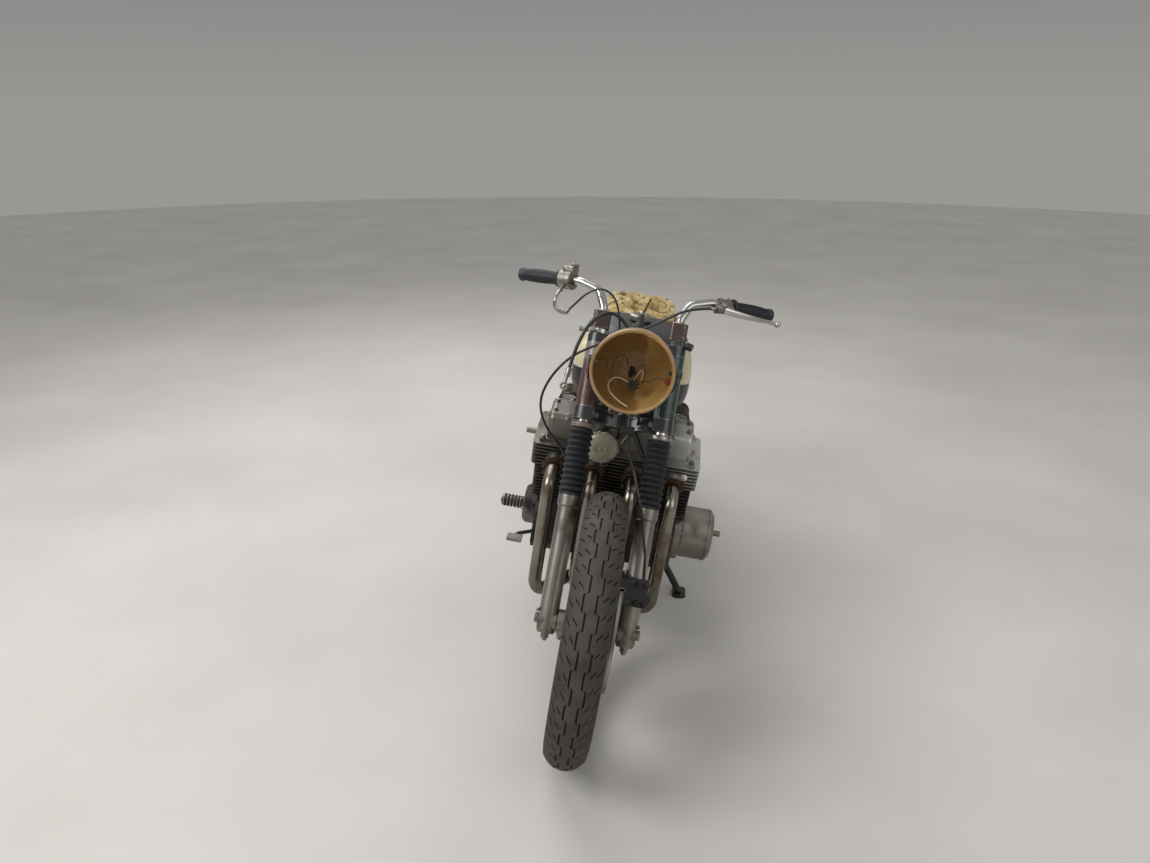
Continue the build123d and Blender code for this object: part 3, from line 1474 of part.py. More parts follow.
def side_stand():
    """The stand: a forked eye on its bolt, a tapering leg and a flat foot on the floor."""
    axis = Vector(*stand_axis())
    pivot = Vector(*STAND_PIVOT)
    foot = Vector(*stood_up(STAND_FOOT[0], STAND_FOOT[1], FOOT_THICKNESS))
    bottom = (Align.CENTER, Align.CENTER, Align.MIN)
    half = STAND_EYE / 2
    eye = Plane(origin=pivot - axis * half, z_dir=axis) * Cylinder(17, STAND_EYE, align=bottom)
    down = (foot - pivot).normalized()
    neck = Plane(origin=pivot, z_dir=down, x_dir=axis) * Box(STAND_EYE, 24, 46, align=bottom)
    leg = rod(tuple(pivot + down * 32), tuple(foot), STAND_RADIUS)
    floor = Vector(*stood_up(STAND_FOOT[0], STAND_FOOT[1], 0))
    up = Vector(-LEAN_SIN, 0, LEAN_COS)
    pad = Plane(origin=floor, z_dir=up, x_dir=(0, 1, 0)) * extrude(
        RectangleRounded(66, 44, 14), FOOT_THICKNESS
    )
    solid = eye + neck + leg + pad
    floor_cut = Plane(origin=floor - up * 40, z_dir=up, x_dir=(0, 1, 0)) * Box(
        300, 300, 40, align=(Align.CENTER, Align.CENTER, Align.MIN)
    )
    solid -= floor_cut
    hole = Plane(origin=pivot - axis * 40, z_dir=axis) * Cylinder(STAND_BOLT + GAP, 80, align=bottom)
    return solid - hole


def stand_bracket():
    """The lug on the left rail with the bolt on which the stand swings."""
    axis = Vector(*stand_axis())
    pivot = Vector(*STAND_PIVOT)
    bottom = (Align.CENTER, Align.CENTER, Align.MIN)
    half = STAND_EYE / 2 + GAP
    inner = pivot - axis * (half + 9)
    lug = Plane(origin=inner, z_dir=axis) * Cylinder(16, 9, align=bottom)
    bolt = rod(tuple(inner), tuple(pivot + axis * (half + 4)), STAND_BOLT)
    head = Plane(origin=pivot + axis * half, z_dir=axis) * Cylinder(11, 8, align=bottom)
    rail = (RAIL_X + 4, STAND_PIVOT[1], RAIL_Z + 2)
    arm = rod(rail, tuple(inner + axis * 5), 13)
    arm -= Plane(origin=pivot - axis * half, z_dir=axis) * Cylinder(40, 60, align=bottom)
    return lug + arm + bolt + head


def build():
    """Every sub-part of the upright machine, by name."""
    front_tyre = tyre(FRONT_TYRE_RADIUS, FRONT_TYRE_WIDTH, FRONT_RIM_SEAT, FRONT_RIM_WIDTH)
    rear_tyre = tyre(REAR_TYRE_RADIUS, REAR_TYRE_WIDTH, REAR_RIM_SEAT, REAR_RIM_WIDTH)
    spine = frame_spine()
    seat_rails = seat_frame() - spine
    left_cradle = frame_cradle(1) - spine - seat_rails
    right_cradle = frame_cradle(-1) - spine - seat_rails
    parts = {
        "front_tyre": FRONT_AXLE * front_tyre,
        "front_rim_spokes": FRONT_AXLE * group(
            rim(FRONT_RIM_SEAT, FRONT_RIM_WIDTH),
            spokes(FRONT_RIM_SEAT, FRONT_HUB_FLANGE_RADIUS, FLANGE_X, FRONT_SPOKE_LEAD, 2.2),
        ),
        "front_hub": FRONT_AXLE * front_hub(),
        "brake_disc": FRONT_AXLE * brake_disc(),
        "front_axle": group(front_axle(), speedo_drive()),
        "rear_tyre": REAR_AXLE * rear_tyre,
        "rear_rim_spokes": REAR_AXLE * group(
            rim(REAR_RIM_SEAT, REAR_RIM_WIDTH),
            spokes(REAR_RIM_SEAT, REAR_FLANGE_RADIUS, REAR_FLANGE_X, REAR_SPOKE_LEAD, 3.6),
        ),
        "rear_hub": REAR_AXLE * rear_hub(),
        "rear_sprocket": REAR_AXLE * Pos(CHAIN_X, 0, 0) * sprocket(REAR_PITCH_RADIUS, 48, 30, 6),
        "rear_axle": rear_axle(),
        "rear_brake_plate": brake_plate(),
        "drive_chain": drive_chain(),
        "fork_sliders": fork_sliders(),
        "fork_tubes": fork_tubes(),
        "fork_gaiters": fork_gaiters(),
        "lower_yoke": lower_yoke(),
        "upper_yoke": group(upper_yoke(), stem_cap()),
        "fork_shrouds": group(fork_shroud(1), fork_shroud(-1), both_sides(lamp_bolts())),
        "headlamp_shell": headlamp_shell(),
        "bar_clamps": bar_clamps(),
        "handlebars": handlebars(),
        "grips": grips(),
        "throttle_housing": throttle_housing(),
        "clutch_lever": group(clutch_perch(), clutch_lever()),
        "brake_caliper": brake_caliper(),
        "brake_pipe": group(brake_pipe(), brake_joint()),
        "frame_spine": group(spine, tank_rubbers() - spine),
        "frame_left": left_cradle + stand_bracket(),
        "frame_right": right_cradle,
        "seat_frame": seat_rails,
        "swingarm": group(swingarm(), swing_bolt()),
        "rear_shocks": rear_shocks(),
        "crankcase": group(crankcase(), engine_mounts()),
        "cylinder_block": cylinder_block(),
        "cylinder_head": cylinder_head(),
        "rocker_cover": rocker_cover(),
        "engine_covers_left": group(drum_cover(), sprocket_cover()),
        "engine_covers_right": group(points_cover(), clutch_cover()),
        "carburettors": carburettors(),
        "air_filters": air_filters(),
        "exhaust_headers": exhaust_headers(),
        "exhaust_silencer": group(exhaust_collector(), silencer()),
        "fuel_tank": fuel_tank(),
        "fuel_cap": fuel_cap(),
        "battery_box": battery_box(),
        "tail_lamp": tail_lamp(),
        "horn": horn() - right_cradle,
        "foot_levers": group(gear_lever(), brake_pedal(), kickstarter()),
        "clutch_cable": cable(CLUTCH_CABLE, CLUTCH_CABLE_RADIUS),
        "throttle_cable": cable(THROTTLE_CABLE, THROTTLE_CABLE_RADIUS),
        "brake_hose": cable(BRAKE_HOSE, HOSE_RADIUS),
        "hose_fitting": hose_fitting(),
        "seat_foam": seat_foam(),
        "seat_pan": seat_pan() - seat_rails,
        "rear_mudguard": rear_mudguard(),
        "footpegs": footpegs(),
        "side_stand": side_stand(),
    }
    return parts


def main():
    os.makedirs("parts", exist_ok=True)
    lean_line = Axis((0, 0, ROLL_HEIGHT), (0, 1, 0))
    parts = {name: shape.rotate(lean_line, LEAN) for name, shape in build().items()}
    box = Compound(children=[solid for shape in parts.values() for solid in shape.solids()])
    box = box.bounding_box()
    shift = Pos(-(box.min.X + box.max.X) / 2, -(box.min.Y + box.max.Y) / 2, -box.min.Z)
    for name, shape in parts.items():
        export_step(shift * shape, f"parts/{name}.step")
    print("origin shift", shift.position)
    print("hose bend radii", [round(radius) for radius in corner_radii(BRAKE_HOSE)])


main()
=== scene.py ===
# %% [markdown]
# # A stripped four-cylinder motorcycle on its side stand
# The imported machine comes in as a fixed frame: every hard part is already in its place, in metres,
# leaning as it parks. This lesson dresses those parts in finishes and adds what they leave out:
# tread, chain, springs, bolts, wires, rubber and foam.

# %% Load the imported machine
import json
import math
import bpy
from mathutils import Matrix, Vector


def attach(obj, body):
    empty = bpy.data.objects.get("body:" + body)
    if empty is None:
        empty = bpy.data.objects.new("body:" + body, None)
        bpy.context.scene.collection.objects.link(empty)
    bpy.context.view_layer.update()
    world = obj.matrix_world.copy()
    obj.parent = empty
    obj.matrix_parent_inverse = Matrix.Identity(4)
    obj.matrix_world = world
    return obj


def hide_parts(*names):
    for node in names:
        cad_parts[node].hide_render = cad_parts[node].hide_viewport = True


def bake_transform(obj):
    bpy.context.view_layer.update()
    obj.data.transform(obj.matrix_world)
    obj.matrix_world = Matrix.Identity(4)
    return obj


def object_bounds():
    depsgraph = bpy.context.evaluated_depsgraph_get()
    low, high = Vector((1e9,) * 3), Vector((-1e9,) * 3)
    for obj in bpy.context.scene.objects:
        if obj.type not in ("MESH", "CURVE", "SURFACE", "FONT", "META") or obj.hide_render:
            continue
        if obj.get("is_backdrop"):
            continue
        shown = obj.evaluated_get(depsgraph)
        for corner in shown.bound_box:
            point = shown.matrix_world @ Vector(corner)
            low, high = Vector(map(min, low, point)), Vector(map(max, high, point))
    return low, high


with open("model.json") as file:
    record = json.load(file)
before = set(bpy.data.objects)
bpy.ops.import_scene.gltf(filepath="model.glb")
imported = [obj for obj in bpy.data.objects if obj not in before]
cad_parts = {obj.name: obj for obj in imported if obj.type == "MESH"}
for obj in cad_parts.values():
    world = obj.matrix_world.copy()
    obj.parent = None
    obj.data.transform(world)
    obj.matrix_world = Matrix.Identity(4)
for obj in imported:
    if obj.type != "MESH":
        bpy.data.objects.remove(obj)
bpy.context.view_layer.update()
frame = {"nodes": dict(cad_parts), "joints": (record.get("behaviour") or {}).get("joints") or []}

from types import SimpleNamespace

import bmesh
import bpy
from mathutils import Matrix, Vector, noise

# %% [markdown]
# ## One upright drawing, one lean
# The real machine is symmetrical until it leans, so each new piece is drawn upright in millimetres,
# with X to the rider's left, Y rearwards from the front axle and Z up. One matrix, STAND, then
# leans it and puts it in the frame. Working in the leant frame directly would make every number odd.

# %% The matrix from the upright drawing to the frame
LEAN = math.radians(8.5)
RAKE = math.radians(27)
BORE_TILT = math.radians(12)
AXLE_HEIGHT = 331.0
CRANK_BACK, CRANK_HEIGHT = 600.0, 335.0
pivots = {joint["name"]: Vector(joint["pos_m"]) for joint in frame["joints"]}
AXLE = pivots["front_wheel_spin"]
STAND = (
    Matrix.Translation(AXLE)
    @ Matrix.Rotation(LEAN, 4, "Y")
    @ Matrix.Scale(0.001, 4)
    @ Matrix.Translation((0, 0, -AXLE_HEIGHT))
)


def fork_point(x, back, up):
    """An upright point from its place in the fork: across, behind the legs and up them."""
    y = back * math.cos(RAKE) + up * math.sin(RAKE)
    return Vector((x, y, AXLE_HEIGHT - back * math.sin(RAKE) + up * math.cos(RAKE)))


def engine_point(x, back, up):
    """An upright point from its place in the engine: across, back and up the bores."""
    y = CRANK_BACK + back * math.cos(BORE_TILT) - up * math.sin(BORE_TILT)
    z = CRANK_HEIGHT + back * math.sin(BORE_TILT) + up * math.cos(BORE_TILT)
    return Vector((x, y, z))


FORK_UP = (fork_point(0, 0, 1) - fork_point(0, 0, 0)).normalized()
FORK_FRONT = (fork_point(0, -1, 0) - fork_point(0, 0, 0)).normalized()
BORE_UP = (engine_point(0, 0, 1) - engine_point(0, 0, 0)).normalized()
BORE_FRONT = (engine_point(0, -1, 0) - engine_point(0, 0, 0)).normalized()
print("front axle stands at", [round(value, 4) for value in AXLE])

# %% [markdown]
# ## Camera
# The picture was taken from a little above the bars, in front and slightly to the rider's left,
# looking down about twenty degrees. Its place is measured from the front axle, so it stays right if
# the frame is packed again. The lens follows from the photograph's width and the distance from
# which it was seen, both in pixels.


# %% Camera
def add_object(name, data):
    """An object in the scene that holds a camera, a lamp, a curve or a mesh."""
    made = bpy.data.objects.new(name, data)
    bpy.context.collection.objects.link(made)
    return made


PHOTO_WIDTH, FOCAL_PIXELS, SENSOR_WIDTH = 1150, 864, 36
LOOK_SIDE, LOOK_DOWN = math.radians(6.0), math.radians(20.4)
EYE_FROM_AXLE = Vector((0.1593, -1.790, 1.1720))
eye = bpy.data.cameras.new("photo_camera")
eye.sensor_width = SENSOR_WIDTH
eye.sensor_fit = "HORIZONTAL"
eye.lens = FOCAL_PIXELS / PHOTO_WIDTH * SENSOR_WIDTH
camera = add_object("photo_camera", eye)
ahead = Vector((
    -math.sin(LOOK_SIDE) * math.cos(LOOK_DOWN),
    math.cos(LOOK_SIDE) * math.cos(LOOK_DOWN),
    -math.sin(LOOK_DOWN),
))
camera.rotation_mode = "QUATERNION"
camera.rotation_quaternion = ahead.to_track_quat("-Z", "Y")
camera.location = AXLE + EYE_FROM_AXLE
bpy.context.scene.camera = camera
print("camera", [round(value, 3) for value in camera.location], "lens", round(eye.lens, 2))

# %% [markdown]
# ## Room
# A workshop floor would compete with the machine, so it stands on a plain pale one under large soft
# lamps. Chrome shows only what it reflects: the sky of this room goes from grey at the horizon to
# pale overhead, which gives round bars their dark and bright bands.


# %% Colours and nodes in one line
def colour(code):
    """A colour written as on a screen, #rrggbb, in the linear values that nodes take."""
    parts = [int(code[at:at + 2], 16) / 255 for at in (1, 3, 5)]
    line = [p / 12.92 if p <= 0.04045 else ((p + 0.055) / 1.055) ** 2.4 for p in parts]
    return (*line, 1.0)


def node(tree, kind, wires=(), **settings):
    """A shader node with its settings; wires gives each input a value or another node's output."""
    made = tree.nodes.new("ShaderNode" + kind)
    for name, value in settings.items():
        setattr(made, name, value)
    for socket, value in dict(wires).items():
        if isinstance(value, bpy.types.NodeSocket):
            tree.links.new(value, made.inputs[socket])
        else:
            made.inputs[socket].default_value = value
    return made


def ramp(tree, value, stops):
    """A colour ramp over stops of (position, colour)."""
    made = node(tree, "ValToRGB", {"Fac": value})
    marks = made.color_ramp.elements
    while len(marks) < len(stops):
        marks.new(1.0)
    for mark, (place, shade) in zip(marks, stops):
        mark.position = place
        mark.color = colour(shade)
    return made.outputs["Color"]


print("a mid grey is", round(colour("#808080")[0], 3), "in linear light")

# %% Sky
scene = bpy.context.scene
scene.view_settings.view_transform = "Standard"
world = bpy.data.worlds.new("soft_room")
world.use_nodes = True
scene.world = world
sky = world.node_tree
height = node(sky, "SeparateXYZ", {0: node(sky, "TexCoord").outputs["Generated"]}).outputs["Z"]
shade = ramp(sky, height, [(0.0, "#c9c7c3"), (0.10, "#b9b8b6"), (0.35, "#dcdbd9"), (1.0, "#ffffff")])
sky.links.new(shade, sky.nodes["Background"].inputs["Color"])
sky.nodes["Background"].inputs["Strength"].default_value = 0.55
print("sky of", len(sky.nodes), "nodes")

# %% Patterns and plain materials in one line
def spot_on(tree):
    """Each point's place in the frame, in metres."""
    return node(tree, "TexCoord").outputs["Object"]


def clouds(tree, scale, detail=6.0, rough=0.5, spot=None):
    """Soft noise in the object's own space, or at the spots given."""
    wires = {"Vector": spot or spot_on(tree), "Scale": scale, "Detail": detail, "Roughness": rough}
    return node(tree, "TexNoise", wires).outputs["Fac"]


def new_material(name):
    """A material, its node tree and its shader."""
    made = bpy.data.materials.new(name)
    made.use_nodes = True
    return made, made.node_tree, made.node_tree.nodes["Principled BSDF"]


packed_materials = len(bpy.data.materials)
print(packed_materials, "plain materials came with the packed parts")

# %% Floor
FLOOR_RADIUS = 14
ground = bmesh.new()
bmesh.ops.create_circle(ground, cap_ends=True, segments=96, radius=FLOOR_RADIUS)
ground_mesh = bpy.data.meshes.new("floor")
ground.to_mesh(ground_mesh)
ground.free()
floor = add_object("floor", ground_mesh)
floor_paint, tree, shader = new_material("pale_floor")
shade = ramp(tree, clouds(tree, 1.3), [(0.3, "#bdbab5"), (0.7, "#c9c6c1")])
tree.links.new(shade, shader.inputs["Base Color"])
shader.inputs["Roughness"].default_value = 0.85
ground_mesh.materials.append(floor_paint)
floor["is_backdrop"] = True
print("floor", 2 * FLOOR_RADIUS, "m across")


# %% Lamps
def lamp(name, place, towards, size, power):
    """A square softbox."""
    light = bpy.data.lights.new(name, "AREA")
    light.shape = "SQUARE"
    light.size = size
    light.energy = power
    made = add_object(name, light)
    made.location = place
    made.rotation_mode = "QUATERNION"
    made.rotation_quaternion = (Vector(towards) - Vector(place)).to_track_quat("-Z", "Y")


lamp("key_lamp", (-2.6, -2.2, 3.2), (0, 0, 0.6), 2.0, 92)
lamp("fill_lamp", (2.8, -2.6, 2.4), (0, -0.2, 0.6), 2.6, 30)
lamp("top_lamp", (-1.1, 1.2, 3.5), (0, 0, 0.5), 2.6, 46)
lamp("back_lamp", (-1.6, 3.0, 3.2), (0, 0.2, 0.6), 2.8, 34)
print(len(bpy.data.lights), "lamps")

# %% [markdown]
# ## What age does to every surface
# Dust, tarnish, worn edges and the skin of a casting turn up on nearly every part of a machine
# that has stood in a shed. Each is one node group with named inputs, built once and used with other
# values in each finish. Painting each material by hand would repeat the same noise thirty times.


# %% Arithmetic on masks
def sums(tree, kind, first, second, clamp=False):
    """One step of arithmetic on values."""
    return node(tree, "Math", {0: first, 1: second}, operation=kind, use_clamp=clamp).outputs[0]


def times(tree, first, second, clamp=False):
    """Two values multiplied."""
    return sums(tree, "MULTIPLY", first, second, clamp)


def spread(tree, value, low, high):
    """0 at the low value, 1 at the high one, held at both ends."""
    return node(tree, "MapRange", {"Value": value, "From Min": low, "From Max": high}).outputs[0]


print("a mask goes from 0, untouched, to 1, covered")


# %% Dirt in patches
def effect(name, inputs, outputs):
    """An empty shader group with float inputs of (name, value), and its way in and out."""
    made = bpy.data.node_groups.new(name, "ShaderNodeTree")
    for label, value in inputs:
        socket = made.interface.new_socket(name=label, in_out="INPUT", socket_type="NodeSocketFloat")
        socket.default_value = value
    for label in outputs:
        made.interface.new_socket(name=label, in_out="OUTPUT", socket_type="NodeSocketFloat")
    return made, made.nodes.new("NodeGroupInput").outputs, made.nodes.new("NodeGroupOutput").inputs


def use(tree, group, values=()):
    """A group placed in a material with its own values."""
    made = tree.nodes.new("ShaderNodeGroup")
    made.node_tree = group
    for name, value in dict(values).items():
        made.inputs[name].default_value = value
    return made.outputs


GRIME, inside, out = effect("grime", [("Scale", 9.0), ("Cover", 0.4), ("Softness", 0.18)], ["Mask"])
threshold = sums(GRIME, "SUBTRACT", 0.72, times(GRIME, inside["Cover"], 0.44))
top = sums(GRIME, "ADD", threshold, inside["Softness"])
GRIME.links.new(spread(GRIME, clouds(GRIME, inside["Scale"], 9.0, 0.62), threshold, top), out["Mask"])

print("group", GRIME.name, "of", len(GRIME.nodes), "nodes")

# %% Metal bared at the edges
EDGE_WEAR, inside, out = effect("edge_wear", [("Width", 0.002), ("Amount", 1.0)], ["Mask"])
rounded = node(EDGE_WEAR, "Bevel", {"Radius": inside["Width"]}, samples=4)
plain = node(EDGE_WEAR, "NewGeometry").outputs["Normal"]
facing = node(EDGE_WEAR, "VectorMath", {0: rounded.outputs[0], 1: plain}, operation="DOT_PRODUCT")
turn = times(EDGE_WEAR, sums(EDGE_WEAR, "SUBTRACT", 1.0, facing.outputs["Value"]), 9.0)
worn = times(EDGE_WEAR, turn, spread(EDGE_WEAR, clouds(EDGE_WEAR, 60.0, 5.0), 0.42, 0.6))
EDGE_WEAR.links.new(times(EDGE_WEAR, worn, inside["Amount"], clamp=True), out["Mask"])

print("group", EDGE_WEAR.name, "of", len(EDGE_WEAR.nodes), "nodes")

# %% Grain and scratches
GRAIN, inside, out = effect("grain", [("Scale", 700.0), ("Depth", 1.0)], ["Height"])
GRAIN.links.new(times(GRAIN, clouds(GRAIN, inside["Scale"], 3.0), inside["Depth"]), out["Height"])

SCRATCHES, inside, out = effect("scratches", [("Scale", 14.0), ("Amount", 1.0)], ["Mask"])
lines = []
for turned_by in ((0.4, 0.2, 0.9), (1.3, 0.7, 2.3)):
    wires = {"Vector": spot_on(SCRATCHES), "Rotation": turned_by, "Scale": (1, 16, 16)}
    laid = node(SCRATCHES, "Mapping", wires)
    thread = clouds(SCRATCHES, inside["Scale"], spot=laid.outputs[0])
    middle = sums(SCRATCHES, "ABSOLUTE", sums(SCRATCHES, "SUBTRACT", thread, 0.5), 0.0)
    lines.append(spread(SCRATCHES, middle, 0.006, 0.0))
both = sums(SCRATCHES, "MAXIMUM", *lines)
SCRATCHES.links.new(times(SCRATCHES, both, inside["Amount"], clamp=True), out["Mask"])
print("effects:", [group.name for group in bpy.data.node_groups])

# %% [markdown]
# ## Finishes
# Every finish is the same recipe with other amounts: a base colour that drifts a little, dirt that
# gathers in patches, dust on top, bright metal where an edge has rubbed, and a fine grain in the
# surface. Dirt lowers the metal and raises the roughness, which is what makes it read as dirt.


# %% What the recipe stirs with
def blend(tree, mask, first, second):
    """The first colour where the mask is 0, the second where it is 1."""
    made = node(tree, "Mix", {0: mask, 6: first, 7: second}, data_type="RGBA")
    return made.outputs[2]


def plus(tree, value, extra, share, clamp=False):
    """A value with a share of another one added."""
    return sums(tree, "ADD", value, times(tree, extra, share), clamp)


def bump(tree, shader, height, strength, distance):
    """Lets a height in the surface turn its normal."""
    made = node(tree, "Bump", {"Height": height, "Strength": strength, "Distance": distance})
    tree.links.new(made.outputs[0], shader.inputs["Normal"])


print(len(bpy.data.node_groups), "effects for the recipe to stir in")


# %% The recipe
def finish(name, base, tone, dirt, metal=0.0, rough=0.5, cover=0.35, patch=9.0, dust=0.15,
           dust_colour="#8d877c", wear=0.0, bare="#b4b2ad", grain=(700.0, 0.12), scratch=0.0, coat=0.0,
           paint=None):
    """A material of one aged surface. The names say what each amount is of."""
    made, tree, shader = new_material(name)
    skin = paint(tree) if paint else ramp(tree, clouds(tree, patch * 0.6, 5.0), [(0.32, base), (0.68, tone)])
    dirty = use(tree, GRIME, {"Scale": patch, "Cover": cover})["Mask"]
    dusty = use(tree, GRIME, {"Scale": patch * 4.3, "Cover": dust, "Softness": 0.25})["Mask"]
    skin = blend(tree, dirty, skin, colour(dirt))
    if wear:
        paler_mask = use(tree, EDGE_WEAR, {"Width": 0.0025, "Amount": wear})["Mask"]
        skin = blend(tree, paler_mask, skin, colour(bare))
    skin = blend(tree, times(tree, dusty, 0.75), skin, colour(dust_colour))
    tree.links.new(skin, shader.inputs["Base Color"])
    roughness = plus(tree, plus(tree, rough, dirty, 0.22), dusty, 0.3, clamp=True)
    if scratch:
        roughness = plus(tree, roughness, use(tree, SCRATCHES, {"Amount": scratch})["Mask"], 0.25, clamp=True)
    tree.links.new(roughness, shader.inputs["Roughness"])
    if metal:
        cleaner = plus(tree, plus(tree, metal, dusty, -0.7, clamp=True), dirty, -0.3, clamp=True)
        tree.links.new(cleaner, shader.inputs["Metallic"])
    elif wear:
        tree.links.new(times(tree, paler_mask, 0.9), shader.inputs["Metallic"])
    shader.inputs["Coat Weight"].default_value = coat
    texture = use(tree, GRAIN, {"Scale": grain[0], "Depth": grain[1]})["Height"]
    bump(tree, shader, plus(tree, texture, dirty, -0.15), 0.35, 0.0006)
    return made


CHROME = finish("chrome", "#b9b8b4", "#a3a19b", "#574a3a", metal=1.0, rough=0.16, cover=0.3,
                patch=16, dust=0.12, scratch=0.5, grain=(300.0, 0.05))
print("chrome takes", len(CHROME.node_tree.nodes), "nodes")

# %% Bright and dull metals
DULL_CHROME = finish("dull_chrome", "#b9b5ac", "#98938a", "#5b4733", metal=1.0, rough=0.24, cover=0.42,
                     patch=12, dust=0.3, scratch=0.5)
ALLOY = finish("cast_alloy", "#96928a", "#716d66", "#322d27", metal=0.9, rough=0.42, cover=0.58,
               patch=11, dust=0.3, grain=(900.0, 0.5), scratch=0.3)
CLEAN_ALLOY = finish("polished_alloy", "#c4c2bd", "#a8a6a0", "#6d675d", metal=0.95, rough=0.26,
                     cover=0.3, patch=14, dust=0.2, scratch=0.7)
SATIN_ALLOY = finish("satin_alloy", "#979289", "#77726a", "#4d3a28", metal=0.92, rough=0.36, cover=0.42,
                     patch=10, dust=0.25, scratch=0.8, grain=(500.0, 0.3))
ENGINE_GREY = finish("engine_paint", "#57544f", "#3a3835", "#1c1a17", metal=0.75, rough=0.5, cover=0.6,
                     patch=10, dust=0.35, grain=(800.0, 0.6))
STEEL = finish("plated_steel", "#98948c", "#7c776f", "#4a3d30", metal=0.95, rough=0.34, cover=0.4,
               patch=20, dust=0.2, scratch=0.5)
DARK_STEEL = finish("oiled_steel", "#4d4a46", "#35322f", "#1d1a17", metal=0.85, rough=0.4, cover=0.5,
                    patch=24, dust=0.25)
print(len(bpy.data.materials) - packed_materials - 1, "metals")

# %% Paint, rubber, plastic and china
FRAME_BLACK = finish("frame_black", "#17181a", "#212224", "#2e2a26", rough=0.34, cover=0.3, patch=8,
                     dust=0.3, wear=0.6, coat=0.3)
CASE_BLACK = finish("black_casting", "#1c1c1e", "#262627", "#3a352f", rough=0.46, cover=0.35, patch=18,
                    dust=0.3, wear=0.9, grain=(900.0, 0.5))
BLOCK_BROWN = finish("brown_clamp_paint", "#33211f", "#452e2b", "#221a18", rough=0.42, cover=0.3,
                     patch=22, dust=0.25, wear=0.7, coat=0.2)
RUBBER = finish("moulded_rubber", "#0c0f12", "#13171b", "#08090b", rough=0.62, cover=0.3, patch=16,
                dust=0.14, dust_colour="#45474a", grain=(1200.0, 0.4))
GRIP_RUBBER = finish("grip_rubber", "#14171d", "#1d222a", "#0c0d10", rough=0.5, cover=0.25, patch=20,
                     dust=0.15, dust_colour="#42474f", grain=(1400.0, 0.4))
CABLE_BLACK = finish("cable_sheath", "#161718", "#232425", "#2b2825", rough=0.38, cover=0.3, patch=30,
                     dust=0.2, dust_colour="#4f4c48")
HOSE_BLACK = finish("hose_rubber", "#1b1c1e", "#26272a", "#121212", rough=0.46, cover=0.3, patch=26,
                    dust=0.25, dust_colour="#4c4b49", grain=(1500.0, 0.5))
HEADER_STEEL = finish("header_steel", "#989389", "#776f63", "#5b4029", metal=1.0, rough=0.24, cover=0.48,
                      patch=7, dust=0.25, scratch=0.7)
DISC_STEEL = finish("disc_steel", "#a3a19d", "#8c8985", "#5d5650", metal=1.0, rough=0.24, cover=0.25,
                    patch=14, dust=0.12, scratch=0.9)
BRASS_BROWN = finish("brown_casting", "#5c4632", "#493627", "#2c2119", metal=0.7, rough=0.45, cover=0.4,
                     patch=30, dust=0.25)
HORN_BEIGE = finish("horn_beige", "#a09a86", "#868170", "#4d483d", metal=0.25, rough=0.42, cover=0.3,
                    patch=18, dust=0.25, wear=0.4)
RED_LENS = finish("tail_lens", "#7c1011", "#8f1a17", "#3c0c0b", rough=0.2, cover=0.2, patch=20,
                  dust=0.25, coat=0.5, grain=(400.0, 0.3))
CERAMIC = finish("plug_ceramic", "#e8e5dc", "#d6d1c4", "#8b7f6a", rough=0.3, cover=0.25, patch=60,
                 dust=0.1, coat=0.3)
PALE_LEAD = finish("pale_lead", "#c9bd97", "#b4a67f", "#7b6a45", rough=0.45, cover=0.3, patch=40, dust=0.1)
BROWN_LEAD = finish("brown_lead", "#3b2318", "#4c3022", "#22150f", rough=0.42, cover=0.3, patch=40, dust=0.1)
RED_PLUG = finish("red_brown_connector", "#6b2418", "#7f3020", "#3d160f", rough=0.4, cover=0.25, patch=50,
                  dust=0.15)
FITTING_GREY = finish("crimped_fitting", "#b4b4b0", "#9b9a95", "#6a6660", metal=0.85, rough=0.35,
                      cover=0.3, patch=40, dust=0.2)
PLASTIC_BLACK = finish("black_plastic", "#191a1b", "#222324", "#141414", rough=0.36, cover=0.25,
                       patch=25, dust=0.3, dust_colour="#5f5b55", grain=(1100.0, 0.4))
print(len(bpy.data.materials) - packed_materials - 1, "finishes")

# %% [markdown]
# ## The loose brake hose, first of all
# The hose hangs from the junction block under the lower yoke, rises behind the lamp in one arch and
# ends in its crimped banjo fitting. The arch and the loose end show, about half of its length. The
# stretch behind the lamp is taken as one smooth bend. It is a rubber hose a little over eight
# millimetres thick, so its bends are wide. A spline through the route's points bends as rubber
# does, where arcs and straight runs would look like wire.

# %% Flexible lines
def flexible(name, route, radius, material):
    """A round flexible line along a route of upright points, as a smooth NURBS curve."""
    curve = bpy.data.curves.new(name, "CURVE")
    curve.dimensions = "3D"
    spline = curve.splines.new("NURBS")
    spline.points.add(len(route) - 1)
    for mark, place in zip(spline.points, route):
        mark.co = (*(STAND @ Vector(place)), 1.0)
    spline.order_u = 3
    spline.use_endpoint_u = True
    curve.bevel_depth = radius / 1000
    curve.bevel_resolution = 4
    curve.resolution_u = 10
    curve.use_fill_caps = True
    curve.materials.append(material)
    return add_object(name, curve)


def curve_length(piece):
    """The length of a curve in metres, read from its middle line."""
    bare = piece.copy()
    bare.data = piece.data.copy()
    bare.data.bevel_depth = 0
    line = bpy.data.meshes.new_from_object(bare)
    total = sum(
        (line.vertices[a].co - line.vertices[b].co).length for a, b in (edge.vertices for edge in line.edges)
    )
    bpy.data.meshes.remove(line)
    bpy.data.objects.remove(bare)
    return total


def lead(name, route, radius, material, body):
    """A flexible line that rides on one body."""
    made = flexible(name, route, radius, material)
    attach(made, body)
    return made


print(len(bpy.data.curves), "flexible lines so far")

